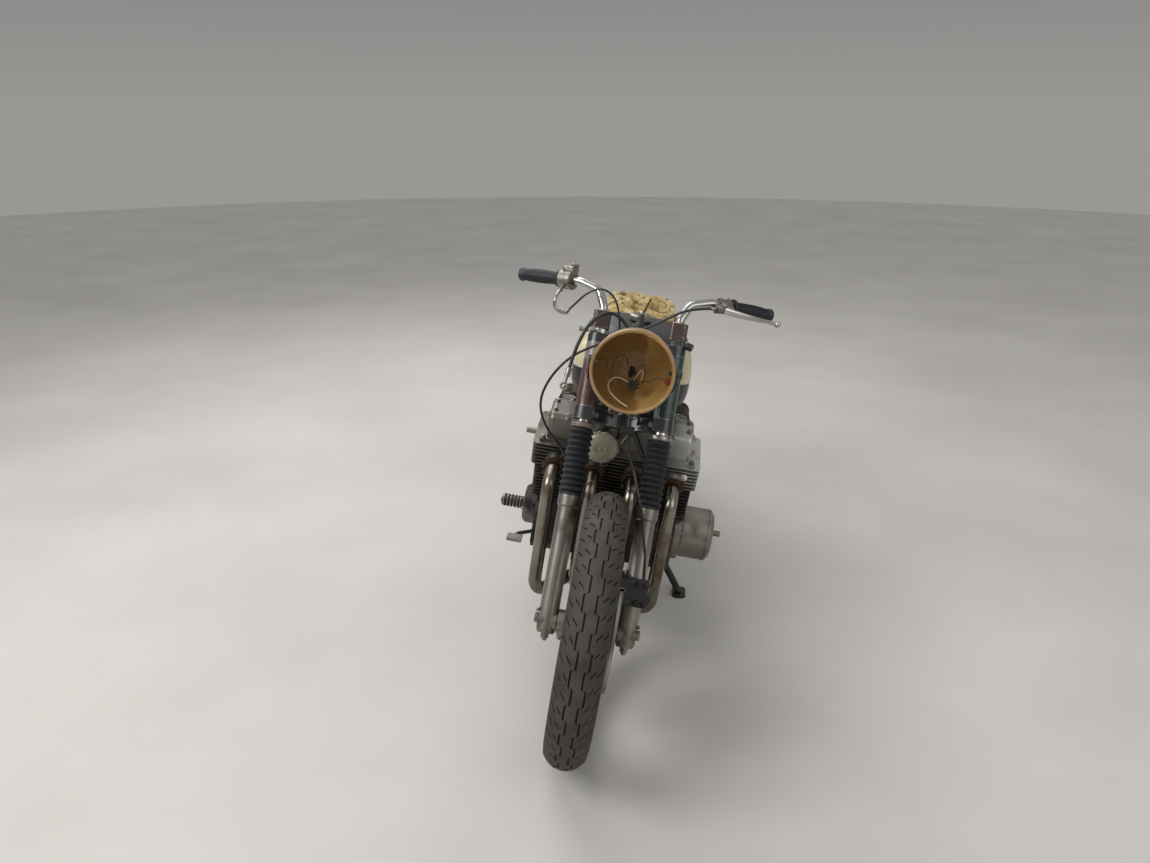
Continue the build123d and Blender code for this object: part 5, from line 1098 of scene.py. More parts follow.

# %% [markdown]
# ## Dressing the imported parts
# A part whose shape is right keeps it and only takes a finish: assigning to its slots changes no
# vertex, so it stays the imported part.

# %% Finishes on the imported parts
DRESS = (
    (CHROME, "handlebars fork_tubes"),
    (DULL_CHROME, "front_rim_spokes rear_rim_spokes rear_mudguard"),
    (HEADER_STEEL, "exhaust_headers"),
    (SATIN_ALLOY, "fork_sliders engine_covers_left throttle_housing"),
    (ALLOY, "front_hub rear_hub rear_brake_plate carburettors"),
    (ENGINE_GREY, "crankcase cylinder_block"),
    (DISC_STEEL, "brake_disc"),
    (STEEL, "front_axle rear_axle rear_sprocket foot_levers fuel_cap footpegs horn clutch_lever"),
    (DARK_STEEL, "side_stand drive_chain rear_shocks brake_pipe"),
    (GRIMY_ALLOY, "rocker_cover cylinder_head engine_covers_right"),
    (FRAME_BLACK, "frame_spine frame_left frame_right seat_frame swingarm lower_yoke upper_yoke battery_box"),
    (CASE_BLACK, "brake_caliper exhaust_silencer seat_pan air_filters"),
    (BLOCK_BROWN, "bar_clamps"),
    (RUBBER, "fork_gaiters grips"),
    (FITTING_GREY, "hose_fitting"),
    (RED_LENS, "tail_lamp"),
    (AMBER, "headlamp_shell"),
    (SHROUD, "fork_shrouds"),
    (TANK, "fuel_tank"),
)
dressed = 0
for material, names in DRESS:
    for name in names.split():
        for holder in frame["nodes"][name].material_slots:
            holder.material = material
        dressed += 1
print(dressed, "packed parts dressed")

# %% [markdown]
# ## Tank skin
# The tank was pressed from sheet over a former, so its shoulders are round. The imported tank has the
# right outline from each side but meets itself in ridges. Its outer skin is taken alone, remeshed
# evenly and relaxed, which rounds the ridges as a press does. The tunnel over the spine is left crisp,
# because the frame and the rubbers fit it closely. A bevel on each ridge would still show flat panels.

# %% Helpers for a pressed surface
def remeshed(mesh, grid):
    """A mesh's surface again in even squares of a given size; the mesh itself is used up."""
    carrier = add_object("carrier", mesh)
    remesh = carrier.modifiers.new("remesh", "REMESH")
    remesh.mode = "VOXEL"
    remesh.voxel_size = grid
    even = bpy.data.meshes.new_from_object(carrier.evaluated_get(bpy.context.evaluated_depsgraph_get()))
    bpy.data.objects.remove(carrier)
    bpy.data.meshes.remove(mesh)
    return even


def relax(shape, verts, rounds):
    """Moves points halfway to the middle of their neighbours, some rounds over."""
    for _ in range(rounds):
        bmesh.ops.smooth_vert(
            shape, verts=verts, factor=0.5, use_axis_x=True, use_axis_y=True, use_axis_z=True
        )


def connected(vert):
    """A point and all points that edges lead to from it."""
    reached, waiting = {vert}, [vert]
    while waiting:
        here = waiting.pop()
        for other in (link.other_vert(here) for link in here.link_edges):
            if other not in reached:
                reached.add(other)
                waiting.append(other)
    return reached


trial = block((10, 10, 10), (0, 0, 0))
print("edges lead from one corner of a block to", len(connected(next(iter(trial.verts)))), "points")
trial.free()

# %% Tank skin
TANK_GRID, TANK_RELAX = 5.0, 90
TUNNEL_HALF, TUNNEL_TOP = 46, 868
tank_node = frame["nodes"]["fuel_tank"]
skin = bmesh.new()
skin.from_mesh(tank_node.data)
skin.transform(STAND.inverted() @ tank_node.matrix_world)
bmesh.ops.remove_doubles(skin, verts=skin.verts, dist=0.005)
outer = connected(max(skin.verts, key=lambda vert: vert.co.z))
bmesh.ops.delete(skin, geom=[vert for vert in skin.verts if vert not in outer], context="VERTS")
outer_mesh = bpy.data.meshes.new("tank_outer")
skin.to_mesh(outer_mesh)
skin.free()
even = remeshed(outer_mesh, TANK_GRID)
skin = bmesh.new()
skin.from_mesh(even)
bpy.data.meshes.remove(even)
free = [vert for vert in skin.verts if abs(vert.co.x) > TUNNEL_HALF or vert.co.z > TUNNEL_TOP]
relax(skin, free, TANK_RELAX)
piece(skin, "tank_skin", TANK, "chassis", "tank_paint", ["fuel_tank"], sharp=60)

# %% Length of the loose hose
round(curve_length(brake_hose), 3)
print("hose", round(curve_length(brake_hose), 3), "m as a cord")

# %% [markdown]
# ## Control cables
# The clutch and throttle cables cross the steering: one end turns with the bars, the other stays on
# the engine. Each is meshed from its smooth route and rides on no body, because a cable that rode on
# one body would tear off the other.


# %% Clutch and throttle cables
def bending(name, route, radius, material, instead=None):
    """A cable meshed from a smooth route of upright points; it rides on no body."""
    line = flexible(name + "_line", route, radius, material)
    mesh = bpy.data.meshes.new_from_object(line)
    bpy.data.objects.remove(line)
    made = add_object(name, mesh)
    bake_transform(made)
    if instead:
        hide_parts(instead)


CLUTCH_ROUTE = [
    (181.5, 378, 1070), (116, 338, 1068), (68, 300, 1046), (20, 264, 1020), (-43, 250, 988),
    (-101, 250, 958), (-159, 250, 918), (-203, 254, 848), (-218, 268, 780), (-198, 296, 712),
    (-154, 326, 652), (-114, 340, 596), (-88, 358, 534), (-86, 374, 450), (-86, 385, 364),
    (-87, 400, 290), (-88, 440, 244), (-88.5, 520, 240), (-88.5, 600, 241), (-89, 668, 240),
]
THROTTLE_ROUTE = [
    (-216, 376, 1050), (-223, 354, 1038), (-222, 350, 1010), (-194, 350, 998), (-168, 345, 1032),
    (-142, 338, 1066), (-108, 332, 1084), (-72, 326, 1068), (-52, 318, 1020), (-44, 310, 960),
    (-44, 306, 900), (-48, 330, 846), (-52, 376, 790), (-56, 436, 744), (-56, 520, 728),
    (-56.5, 685, 714), (-56.5, 685, 669.8),
]
bending("clutch_cable_bent", CLUTCH_ROUTE, 3.2, CABLE_BLACK,
        "clutch_cable")
bending("throttle_cable_bent", THROTTLE_ROUTE, 2.6, CABLE_BLACK,
        "throttle_cable")

print("cables of", len(CLUTCH_ROUTE), "and", len(THROTTLE_ROUTE), "points")

# %% Elbow, ferrules and stops
ELBOW_END = Vector((-192, 349.6, 1001))
FERRULE = [(0, 0), (4.9, 0), (5.4, 1), (5.4, 9), (4.2, 11), (4.2, 15), (3.0, 16), (0, 16)]
elbow_route = THROTTLE_ROUTE[:3] + [(-206, 350, 1001), ELBOW_END]
lead("throttle_elbow", elbow_route, 4.4, DULL_CHROME, "front_fork")
clutch_start = Vector(CLUTCH_ROUTE[0])
clutch_way = Vector(CLUTCH_ROUTE[1]) - clutch_start
ends = [turned(FERRULE, ELBOW_END, (0.6, -0.1, 0.8), steps=16)]
ends.append(turned(FERRULE, clutch_start, clutch_way, steps=16))
ends.append(hexagon(clutch_start + Vector((3, 2, 0)), clutch_way, 13, 5))
piece(gather(ends), "cable_ferrules", STEEL, "front_fork", "steel")
stops = [turned(FERRULE, Vector(CLUTCH_ROUTE[-1]) + Vector((0, -1, 0)), (0, -1, 0), steps=16)]
stops.append(turned(FERRULE, Vector(THROTTLE_ROUTE[-1]), (0, 0, 1), steps=16))
piece(gather(stops), "cable_stops", STEEL, "chassis", "steel")

# %% [markdown]
# ## Bars: grips, lever and twist grip housing
# Grips are moulded rubber: a bulge at the end, a flange at the thumb and grooves along the hand. The
# body is turned, then every second strip is pressed in, which leaves the ridges standing. The lever is
# a flat forging that tapers to a ball, so it is swept through its stations with a shrinking section.

# %% Grips
BAR_TIP = Vector((334, 492, 1052))
BAR_IN = (Vector((168, 397, 1078)) - BAR_TIP).normalized()
RIGHT_TIP, RIGHT_IN = Vector((-BAR_TIP.x, BAR_TIP.y, BAR_TIP.z)), Vector((-BAR_IN.x, BAR_IN.y, BAR_IN.z))
GRIP = [
    (11.5, 0.5), (15.5, 0.5), (17.6, 2.2), (18.2, 5.5), (17.8, 9), (16.2, 12.5), (15.7, 18), (17.2, 38),
    (17.9, 62), (17.3, 88), (16.4, 106), (16.2, 119), (17.2, 122), (21, 123.4), (21.8, 125), (21.8, 128),
    (21, 129.5), (11.5, 129.5), (11.5, 0.5),
]
GRIP_STRIPS, HAND_FROM, HAND_TO = 56, 18, 119


def strip_of(face, strips):
    """The number of the strip round a turned shape that a face is in."""
    middle = face.calc_center_median()
    return int(math.atan2(middle.y, middle.x) / math.tau * strips + 2 * strips)


parts = []
for tip, inward in ((BAR_TIP, BAR_IN), (RIGHT_TIP, RIGHT_IN)):
    grip = turned(GRIP, steps=GRIP_STRIPS)
    hollow = [
        face for face in grip.faces
        if HAND_FROM < face.calc_center_median().z < HAND_TO and face.calc_center_median().xy.length > 14
        and strip_of(face, GRIP_STRIPS) % 2
    ]
    bmesh.ops.inset_region(grip, faces=hollow, thickness=0.25, depth=-0.9, use_even_offset=True)
    parts.append(place(grip, tip, inward))
piece(gather(parts), "hand_grips", GRIP_RUBBER, "front_fork", "rubber", ["grips"])

# %% Clutch lever and its perch
CLAMP = [(11.4, 0), (16.4, 0), (17.2, 1.4), (17.2, 36.6), (16.4, 38), (11.4, 38), (11.4, 0)]
perch_at = BAR_TIP + BAR_IN * 155
root, ball = Vector((201.6, 374.2, 1069.8)), Vector((349.5, 434.9, 1043.6))
parts = [turned(CLAMP, BAR_TIP + BAR_IN * 134, BAR_IN, steps=40)]
parts.append(block((46, 32, 20), perch_at + Vector((0, -25, -3)), 4, roll=0.5))
parts.append(block((26, 9, 22), perch_at + Vector((-8, 14, -14)), 2.5, roll=0.5))
parts.append(hexagon(root + Vector((0, 0, 9)), (0, 0, 1), 11, 5, washer=7))
for across, back in ((-10, -6), (10, 6)):
    parts.append(screw(perch_at + Vector((across, back, 17)), (0, 0, 1), 4, 3))
piece(gather(parts), "clutch_perch", SATIN_ALLOY, "front_fork", "alloy", ["clutch_lever"])

# %% Blade of the clutch lever
LEVER_STATIONS = 15
KNOB = [(0, -8.4), (4.4, -7.4), (7.2, -4.4), (8.4, 0), (7.2, 4.4), (4.4, 7.4), (0, 8.4)]
path, sizes = [], []
for number in range(LEVER_STATIONS):
    t = number / (LEVER_STATIONS - 1)
    bow = Vector((0, -1, 0)) * (7 * math.sin(math.pi * min(1, t * 1.15)) - 5 * t)
    path.append(root.lerp(ball, t) + bow)
    sizes.append((4.4 - 1.2 * t, 9.4 - 4.2 * min(1, t * 1.3) + (1.4 if t > 0.9 else 0)))
lever = swept(path, sizes, steps=16)
end_ball = turned(KNOB, path[-1], path[-1] - path[-2], steps=24)
piece(gather([lever, end_ball]), "clutch_lever_blade", CLEAN_ALLOY, "front_fork", "alloy")

# %% Twist grip housing
SEAM_RING = [(24.6, -1), (25.6, -0.6), (25.6, 0.6), (24.6, 1)]
CABLE_DRUM = [(0, 0), (9, 0), (9.5, 1), (9.5, 8), (8, 9.5), (3, 10), (0, 10)]
housing_at = RIGHT_TIP + RIGHT_IN * 152
parts = [turned(SEAM_RING, housing_at, RIGHT_IN, steps=48)]
parts.append(block((34, 30, 22), housing_at + Vector((4, 2, 23)), 4, roll=-0.5))
parts.append(block((20, 12, 8), housing_at + Vector((4, -8, 33)), 2.5, roll=-0.5))
parts.append(turned(CABLE_DRUM, housing_at + Vector((14, 6, 33)), (0.1, 0, 1), steps=28))
for across, back in ((-9, -25), (12, -23)):
    parts.append(screw(housing_at + Vector((across, back, -12)), (0, -1, -0.3), 3.6, 2.6))
parts.append(hexagon(Vector(THROTTLE_ROUTE[0]) + Vector((1, 3, 4)), (0.1, 0.3, -1), 12, 6))
piece(gather(parts), "housing_details", SATIN_ALLOY, "front_fork", "alloy")

# %% [markdown]
# ## Clamp rings and the stem's cap
# Under each bar block a ring is clamped round the fork tube: a black stub is left on one side and a
# bright adjuster on the other. They are turned rings with a split lug, as the real ones are.

# %% Rings on the fork tubes and the cap on the stem
RING_UP = 720
RING = [(17.9, -6), (22.5, -6), (23.5, -5), (23.5, 5), (22.5, 6), (17.9, 6), (17.9, -6)]
STUB = [(0, 0), (9, 0), (9.5, 2), (9.5, 15), (8, 17), (0, 17)]
ADJUSTER = [(0, 0), (6, 0), (6, 8), (4, 9), (4, 20), (7, 21), (7, 26), (0, 27)]
left_ring = [turned(RING, fork_point(LEG_X, 0, RING_UP), FORK_UP, steps=40)]
left_ring.append(block((12, 16, 11), fork_point(117, -12, RING_UP), 1.5, FORK_UP))
left_ring.append(turned(STUB, fork_point(122, -13, RING_UP), (1, -0.35, -0.15), steps=24))
piece(gather(left_ring), "tube_ring_left", CASE_BLACK, "front_fork", "black_paint")
right_ring = [turned(RING, fork_point(-LEG_X, 0, RING_UP), FORK_UP, steps=40)]
right_ring.append(block((14, 13, 11), fork_point(-117, -14, RING_UP), 1.5, FORK_UP))
right_ring.append(turned(ADJUSTER, fork_point(-122, -14, RING_UP), (-1, -0.3, 0), steps=20))
right_ring.append(hexagon(fork_point(-112, -24, RING_UP), FORK_FRONT, 10, 6, washer=6.5))
piece(gather(right_ring), "tube_ring_right", CLEAN_ALLOY, "front_fork", "alloy")

# %% Neck, dome and a lead on the stem
STEM_BACK, STEM_UP = 65.7, 764
NECK = [(9.5, -6), (16, -5), (16, 1), (12, 8), (9, 20), (7.2, 30), (7.2, 36), (0, 36)]
DOME = [(0, 0), (6.5, 0), (7, 1), (7, 4), (5.5, 7), (3, 9), (0, 9.4)]
cap_at = fork_point(0, STEM_BACK, STEM_UP)
neck_top = cap_at + FORK_UP * NECK[-1][1]
piece(turned(NECK, cap_at, FORK_UP, steps=32), "stem_neck", CASE_BLACK, "front_fork", "black_paint")
piece(turned(DOME, neck_top, FORK_UP, steps=28), "stem_dome", CHROME, "front_fork", "chrome")
STEM_LEAD = ((3, 0, 2), (6, -2, 12), (10, 0, 24), (14, 4, 36), (17, 6, 44))
lead("stem_lead", [neck_top + Vector(off) for off in STEM_LEAD], 2.6, BROWN_LEAD, "front_fork")

# %% [markdown]
# ## Horn
# The horn is a pressed disc whose edge is scalloped where it is crimped. The disc is turned, then its
# outer ring of points is moved in and out in a wave. A gear cut by booleans would be sharper than any
# pressing.

# %% Horn
HORN_AT, HORN_FACE = Vector((-45, 300, 672)), Vector((0, -1, -0.1)).normalized()
HORN_DISC = [
    (0, -32), (20, -31.5), (25, -29), (29, -18), (38, -14.5), (45.5, -13.6), (46, -11), (45.5, -9.5),
    (40, -8.6), (36, -4), (31, -2.2), (25, 0), (23, 0.6), (14, 2.2), (12, 1.2), (5, 1.2), (0, 1.2),
]
SCALLOPS, SCALLOP_DEPTH = 16, 0.07
disc = turned(HORN_DISC, steps=6 * SCALLOPS)
for vert in disc.verts:
    if vert.co.xy.length > 44:
        angle = math.atan2(vert.co.y, vert.co.x)
        dent = 1 - SCALLOP_DEPTH * max(0.0, math.cos(angle * SCALLOPS)) ** 2
        vert.co.x *= dent
        vert.co.y *= dent
place(disc, HORN_AT, HORN_FACE)
strap = block((18, 34, 22), (-62, 341, 676), 2.5)
parts = [disc, strap, hexagon(HORN_AT + HORN_FACE * 1, HORN_FACE, 9, 4)]
for angle in range(0, 360, 60):
    off = Vector((math.cos(math.radians(angle)), 0, math.sin(math.radians(angle)))) * 37
    parts.append(screw(HORN_AT + off - HORN_FACE * 5.6, HORN_FACE, 3.2, 2.2))
piece(gather(parts), "horn_disc", HORN_BEIGE, "chassis", "steel", ["horn"])

# %% [markdown]
# ## Engine hardware
# Covers are held by round-headed screws, the head by hexagon bolts, and round caps with a hexagon
# stand over the valves. The pipes are held by finned collars, and the sparks come through white
# ceramic plugs. Their places come from the engine's own frame, so they tilt and lean with it.

# %% Screws on the side covers
CYLINDERS = (-170.0, -56.5, 56.5, 170.0)
ALTERNATOR_FACE, ALTERNATOR_NOSE, CLUTCH_FACE = 229, 325, -204.3
CENTRE_CAP = [(0, 0), (15, 0), (15, 3), (12, 5), (6, 5), (5, 3.6), (0, 3.6)]
EDGE_RING = [(78.6, 0), (79.4, 1), (79.4, 3), (78.6, 4)]


def beside(x, y, z, radius, degrees):
    """A point on an upright circle that faces the machine's side."""
    angle = math.radians(degrees)
    return Vector((x, y + radius * math.sin(angle), z + radius * math.cos(angle)))


parts = []
for number in range(8):
    at = beside(ALTERNATOR_FACE, CRANK_BACK, CRANK_HEIGHT, 83, 45 * number + 20)
    parts.append(screw(at, (1, 0, 0), 4.6, 4))
parts.append(turned(CENTRE_CAP, (ALTERNATOR_NOSE, CRANK_BACK, CRANK_HEIGHT), (1, 0, 0), steps=36))
parts.append(turned(EDGE_RING, (ALTERNATOR_NOSE - 18, CRANK_BACK, CRANK_HEIGHT), (1, 0, 0), steps=72))
for y, z in ((703, 281), (703, 400), (806, 385), (800, 290)):
    parts.append(screw((129, y, z), (1, 0, 0), 4.6, 4))
for side in (-1, 1):
    parts.append(screw((-250, CRANK_BACK + side * 45, CRANK_HEIGHT), (-1, 0, 0), 4.6, 4))
for number in range(6):
    parts.append(screw(beside(CLUTCH_FACE, 752, 366, 46, 60 * number), (-1, 0, 0), 4.2, 4))
piece(gather(parts), "cover_screws", STEEL, "chassis", "steel")

# %% Bolts and valve caps on the head
VALVE_CAP = [(0, -3), (15, -3), (15.5, -1), (15.5, 3), (14, 4.5), (0, 4.5)]
parts = []
for x in (40, 120, 190):
    for side in (-1, 1):
        for back in (-24, 24):
            parts.append(hexagon(engine_point(side * x, back, 366), BORE_UP, 11, 6, washer=8))
for x in (150, 90, 30):
    for side in (-1, 1):
        for back in (-1, 1):
            at = engine_point(side * x, back * 46, 353)
            away = (BORE_FRONT * -back * 0.8 + BORE_UP * 0.6).normalized()
            parts.append(turned(VALVE_CAP, at, away, steps=28))
            parts.append(hexagon(at + away * 4.5, away, 14, 5))
for x in (-228, -114, 0, 114, 228):
    for back in (-66, 66):
        parts.append(hexagon(engine_point(x * 0.93, back, 291.5), BORE_UP, 13, 9, washer=9))
piece(gather(parts), "head_bolts", STEEL, "chassis", "steel")

# %% Finned collars on the exhaust stubs
COLLAR = [
    (20.2, 0), (27, 0), (28, 1), (28, 4), (32.5, 4.4), (33.5, 5.4), (33.5, 9.6), (32.5, 10.6), (28, 11),
    (28, 14), (27, 15), (20.2, 15), (20.2, 0),
]
COLLAR_STRIPS, FIN_FROM = 40, 29
parts = []
for x in CYLINDERS:
    inside, outside = engine_point(x, -20, 252), engine_point(x, -100, 234)
    out_of = (outside - inside).normalized()
    ring = turned(COLLAR, steps=COLLAR_STRIPS)
    gaps = [
        face for face in ring.faces
        if face.calc_center_median().xy.length > FIN_FROM and strip_of(face, COLLAR_STRIPS) % 4 == 0
    ]
    bmesh.ops.inset_region(ring, faces=gaps, thickness=0.3, depth=-3.4, use_even_offset=True)
    parts.append(place(ring, outside, out_of))
    for turn_by in (0.7, 0.7 + math.pi):
        aside = Vector((math.cos(turn_by), 0, math.sin(turn_by))) * 31
        parts.append(hexagon(outside + aside + out_of * 13, out_of, 10, 6, washer=7))
piece(gather(parts), "exhaust_collars", BRASS_BROWN, "chassis", "alloy")

# %% Spark plugs, caps and leads
PLUG = [
    (0, -4), (9, -4), (9, 2), (6.4, 3), (6.4, 6), (5.6, 8), (5.9, 9.5), (5.2, 11), (5.6, 12.5), (5.0, 14),
    (5.0, 26), (3, 27), (3, 32), (0, 32),
]
CAP = [(4, 0), (8.4, 0), (9, 2), (9, 14), (8, 17), (8, 34), (6.5, 37), (0, 38)]
LEAD_END = {-170.0: 566, -56.5: 548, 56.5: 548}
TUNNEL_SIDE = 28
bodies, caps = [], []
away = (BORE_FRONT * 0.8 + BORE_UP * 0.6).normalized()
for x in CYLINDERS:
    seat = engine_point(x + 28, -88, 255)
    bodies.append(turned(PLUG, seat, away, steps=20))
    if x in LEAD_END:
        caps.append(turned(CAP, seat + away * 12, away, steps=20))
        top, tunnel_x, end = seat + away * 48, math.copysign(TUNNEL_SIDE, x), LEAD_END[x]
        lead(f"plug_lead_{round(x + 200)}", [
            top, top + away * 16, top + Vector((-x * 0.1, 18, 50)), (x * 0.45, 470, 712),
            (tunnel_x, 530, 748), (tunnel_x, end, 772), (tunnel_x, end + 10, 806),
        ], 3.6, CABLE_BLACK, "chassis")
piece(gather(bodies), "spark_plugs", CERAMIC, "chassis", "steel")
piece(gather(caps), "plug_caps", PLASTIC_BLACK, "chassis", "rubber")

# %% [markdown]
# ## Chain
# A roller chain is two plates and a roller, again and again. Each link plate is the hull round two
# discs, and the links are laid at the chain's pitch along the loop round both sprockets, every second
# one wider, so that they overlap as the real ones do. A textured belt would look like a belt.

# %% The chain's loop
FRONT_CENTRE, FRONT_REACH = Vector((772, 334)), 43.2
REAR_CENTRE, REAR_REACH = WHEELS["rear"].centre.yz, 121.4
CHAIN_X, PITCH = 85.0, 15.875


def chain_loop():
    """Points in Y and Z at every pitch along the belt round both sprockets."""
    between_axles = REAR_CENTRE - FRONT_CENTRE
    level = math.atan2(between_axles.y, between_axles.x)
    swing = math.asin((REAR_REACH - FRONT_REACH) / between_axles.length)
    dense = []
    for number in range(61):
        angle = level + math.pi / 2 + swing - (math.pi + 2 * swing) * number / 60
        dense.append(REAR_CENTRE + REAR_REACH * Vector((math.cos(angle), math.sin(angle))))
    for number in range(31):
        angle = level - math.pi / 2 - swing - (math.pi - 2 * swing) * number / 30
        dense.append(FRONT_CENTRE + FRONT_REACH * Vector((math.cos(angle), math.sin(angle))))
    dense.append(dense[0])
    runs = [(b - a).length for a, b in zip(dense, dense[1:])]
    count = 2 * round(sum(runs) / PITCH / 2)
    pitch, marks, walked, index = sum(runs) / count, [], 0.0, 0
    for number in range(count):
        while walked + runs[index] < number * pitch:
            walked += runs[index]
            index += 1
        part = (number * pitch - walked) / runs[index]
        marks.append(dense[index].lerp(dense[index + 1], part))
    return marks


marks = chain_loop()
print("loop of", len(marks), "pitches")


# %% One side plate
PLATE_RADIUS, PLATE_THICK = 6.6, 1.5


def link_plate(x, first, second):
    """The hull round two discs: one side plate."""
    shape = bmesh.new()
    for y, z in (first, second):
        spin_to = Matrix.Translation((x, y, z)) @ Matrix.Rotation(math.pi / 2, 4, "Y")
        bmesh.ops.create_cone(
            shape, cap_ends=True, segments=8, radius1=PLATE_RADIUS, radius2=PLATE_RADIUS, depth=PLATE_THICK,
            matrix=spin_to,
        )
    bmesh.ops.convex_hull(shape, input=shape.verts[:])
    loose = [edge for edge in shape.edges if not edge.link_faces]
    bmesh.ops.delete(shape, geom=loose, context="EDGES")
    bmesh.ops.dissolve_limit(shape, angle_limit=0.05, verts=shape.verts[:], edges=shape.edges[:])
    return shape


print("a plate has", len(link_plate(0, (0, 0), (0, PITCH)).faces), "faces")

# %% The whole chain
INNER_SPREAD, OUTER_SPREAD = 4.4, 6.0
ROLLER = [(0, -6.9), (4.4, -6.9), (4.4, 6.9), (0, 6.9)]
links = []
for number, first in enumerate(marks):
    second = marks[(number + 1) % len(marks)]
    apart = INNER_SPREAD if number % 2 else OUTER_SPREAD
    for side in (1, -1):
        links.append(link_plate(CHAIN_X + side * apart, first, second))
    links.append(turned(ROLLER, (CHAIN_X, *first), (1, 0, 0), steps=8))
piece(gather(links), "roller_chain", DARK_STEEL, "chassis", "steel", ["drive_chain"])

# %% [markdown]
# ## Shocks
# Each spring is a wire wound round its damper. Spinning a small circle while it climbs gives the
# coil in one operation, with the pitch as a plain number.


# %% A coil
def wound(radius, wire, turns, low, high):
    """A coil spring about Z between two heights."""
    shape = bmesh.new()
    stand_up = Matrix.Translation((radius, 0, low)) @ Matrix.Rotation(math.pi / 2, 4, "X")
    bmesh.ops.create_circle(shape, segments=10, radius=wire, matrix=stand_up)
    steps = turns * 28
    rise = (high - low) / steps
    bmesh.ops.spin(
        shape, geom=shape.verts[:] + shape.edges[:], cent=(0, 0, 0), axis=(0, 0, 1), dvec=(0, 0, rise),
        angle=math.tau * turns, steps=steps,
    )
    bmesh.ops.holes_fill(shape, edges=[edge for edge in shape.edges if edge.is_boundary])
    return shape


print("one turn has", len(wound(10, 1, 1, 0, 5).faces), "faces")

# %% Springs and dampers
SHOCK_X, SHOCK_TOP, SHOCK_FOOT = 156, (1290, 668), (1398, 329)
SPRING_RADIUS, WIRE_RADIUS, SPRING_TURNS = 24.0, 3.6, 10
SPRING_LOW, SPRING_HIGH = 60, 58
EYE = [(8.2, -12), (15, -12), (16, -10.5), (16, 10.5), (15, 12), (8.2, 12), (8.2, -12)]


def damper(reach):
    """The damper's outline: body below, rod and top seat, which follow the shock's length."""
    body = [(0, 14), (8, 14), (11, 22), (19, 30), (27.5, 46), (28, 50), (28, 54), (19.5, 56), (19.5, 170)]
    rod = [(8, 172), (6.5, 174), (6.5, reach - SPRING_HIGH)]
    seat = [(27, 55), (28, 52), (26, 34), (14, 22), (8, 13), (0, 13)]
    return body + rod + [(radius, reach - down) for radius, down in seat]


springs, dampers = [], []
for side in (1, -1):
    top, foot = Vector((side * SHOCK_X, *SHOCK_TOP)), Vector((side * SHOCK_X, *SHOCK_FOOT))
    along, reach = (top - foot).normalized(), (top - foot).length
    spring = wound(SPRING_RADIUS, WIRE_RADIUS, SPRING_TURNS, SPRING_LOW, reach - SPRING_HIGH)
    springs.append(place(spring, foot, along))
    dampers.append(turned(damper(reach), foot, along, steps=36))
    for end in (top, foot):
        dampers.append(turned(EYE, end, (1, 0, 0), steps=32))
        dampers.append(hexagon(end + Vector((side * 13, 0, 0)), (side, 0, 0), 17, 7, washer=12))
piece(gather(springs), "shock_springs", DULL_CHROME, "chassis", "chrome", ["rear_shocks"])
piece(gather(dampers), "shock_bodies", CASE_BLACK, "chassis", "black_paint")

# %% [markdown]
# ## Air filters, tail lamp and small hardware
# Pleats are what makes a cone filter one: the cone is turned with many steps and every second line of
# points is drawn in. The tail lamp's lens and cup, the bands round the silencer and the ribs of the
# peg rubbers are turned as well.

# %% Pleated cone filters
GAUZE = finish("filter_gauze", "#6b6050", "#554b3e", "#2d2720", rough=0.8, cover=0.45, patch=30, dust=0.2)
INTAKE_BACK, INTAKE_UP, INTAKE_SLOPE = 86, 255, 1 / 20
FILTER_FROM, FILTER_TO = 96.3, 178
PLEAT_LINES, PLEAT_DEPTH = 72, 0.13
NECK_RUBBER = [(24.5, 0), (27, 0), (27, 5), (29, 6), (29, 10), (38, 12), (38, 16), (35, 17), (0, 17)]


def intake_point(x, out):
    """A point on an intake's middle line, some way out of the head."""
    return engine_point(x, INTAKE_BACK + out, INTAKE_UP + out * INTAKE_SLOPE)


def end_rubber(reach):
    """The rubber cap at a filter's far end."""
    outline = [(0, 11), (32, 11), (33, 9), (33, 3), (29, 0), (0, 0)]
    return [(radius, reach - down) for radius, down in outline]


parts, rubbers = [], []
for x in CYLINDERS:
    start, end = intake_point(x, FILTER_FROM), intake_point(x, FILTER_TO)
    along, reach = (end - start).normalized(), (end - start).length
    cone = turned([(35, 14), (36.5, 15), (32, reach - 10), (30, reach - 9)], steps=PLEAT_LINES)
    for vert in cone.verts:
        line = round(math.atan2(vert.co.y, vert.co.x) / math.tau * PLEAT_LINES) % 2
        vert.co.x *= 1 - PLEAT_DEPTH * line
        vert.co.y *= 1 - PLEAT_DEPTH * line
    parts.append(place(cone, start, along))
    rubbers.append(turned(NECK_RUBBER, start, along, steps=40))
    rubbers.append(turned(end_rubber(reach), start, along, steps=40))
piece(gather(parts), "filter_pleats", GAUZE, "chassis", "foam", ["air_filters"])
piece(gather(rubbers), "filter_rubbers", PLASTIC_BLACK, "chassis", "rubber")

# %% Tail lamp
LENS = [
    (34.6, 11), (35.4, 12), (35.4, 20), (34.6, 21), (34.6, 23), (35.2, 24), (35.2, 30), (31, 39), (22, 43),
    (10, 44), (0, 44),
]
CUP = [(0, 0), (32, 0), (35, 2), (36, 5), (36, 12), (34, 13), (30, 13)]
TAIL_AT, REARWARDS = (0, 1459.3, 747), (0, 1, 0)
lens = turned(LENS, TAIL_AT, REARWARDS, steps=56)
piece(lens, "tail_lens", RED_LENS, "chassis", "lamp_plastic", ["tail_lamp"])
piece(turned(CUP, TAIL_AT, REARWARDS, steps=56), "tail_cup", CHROME, "chassis", "chrome")

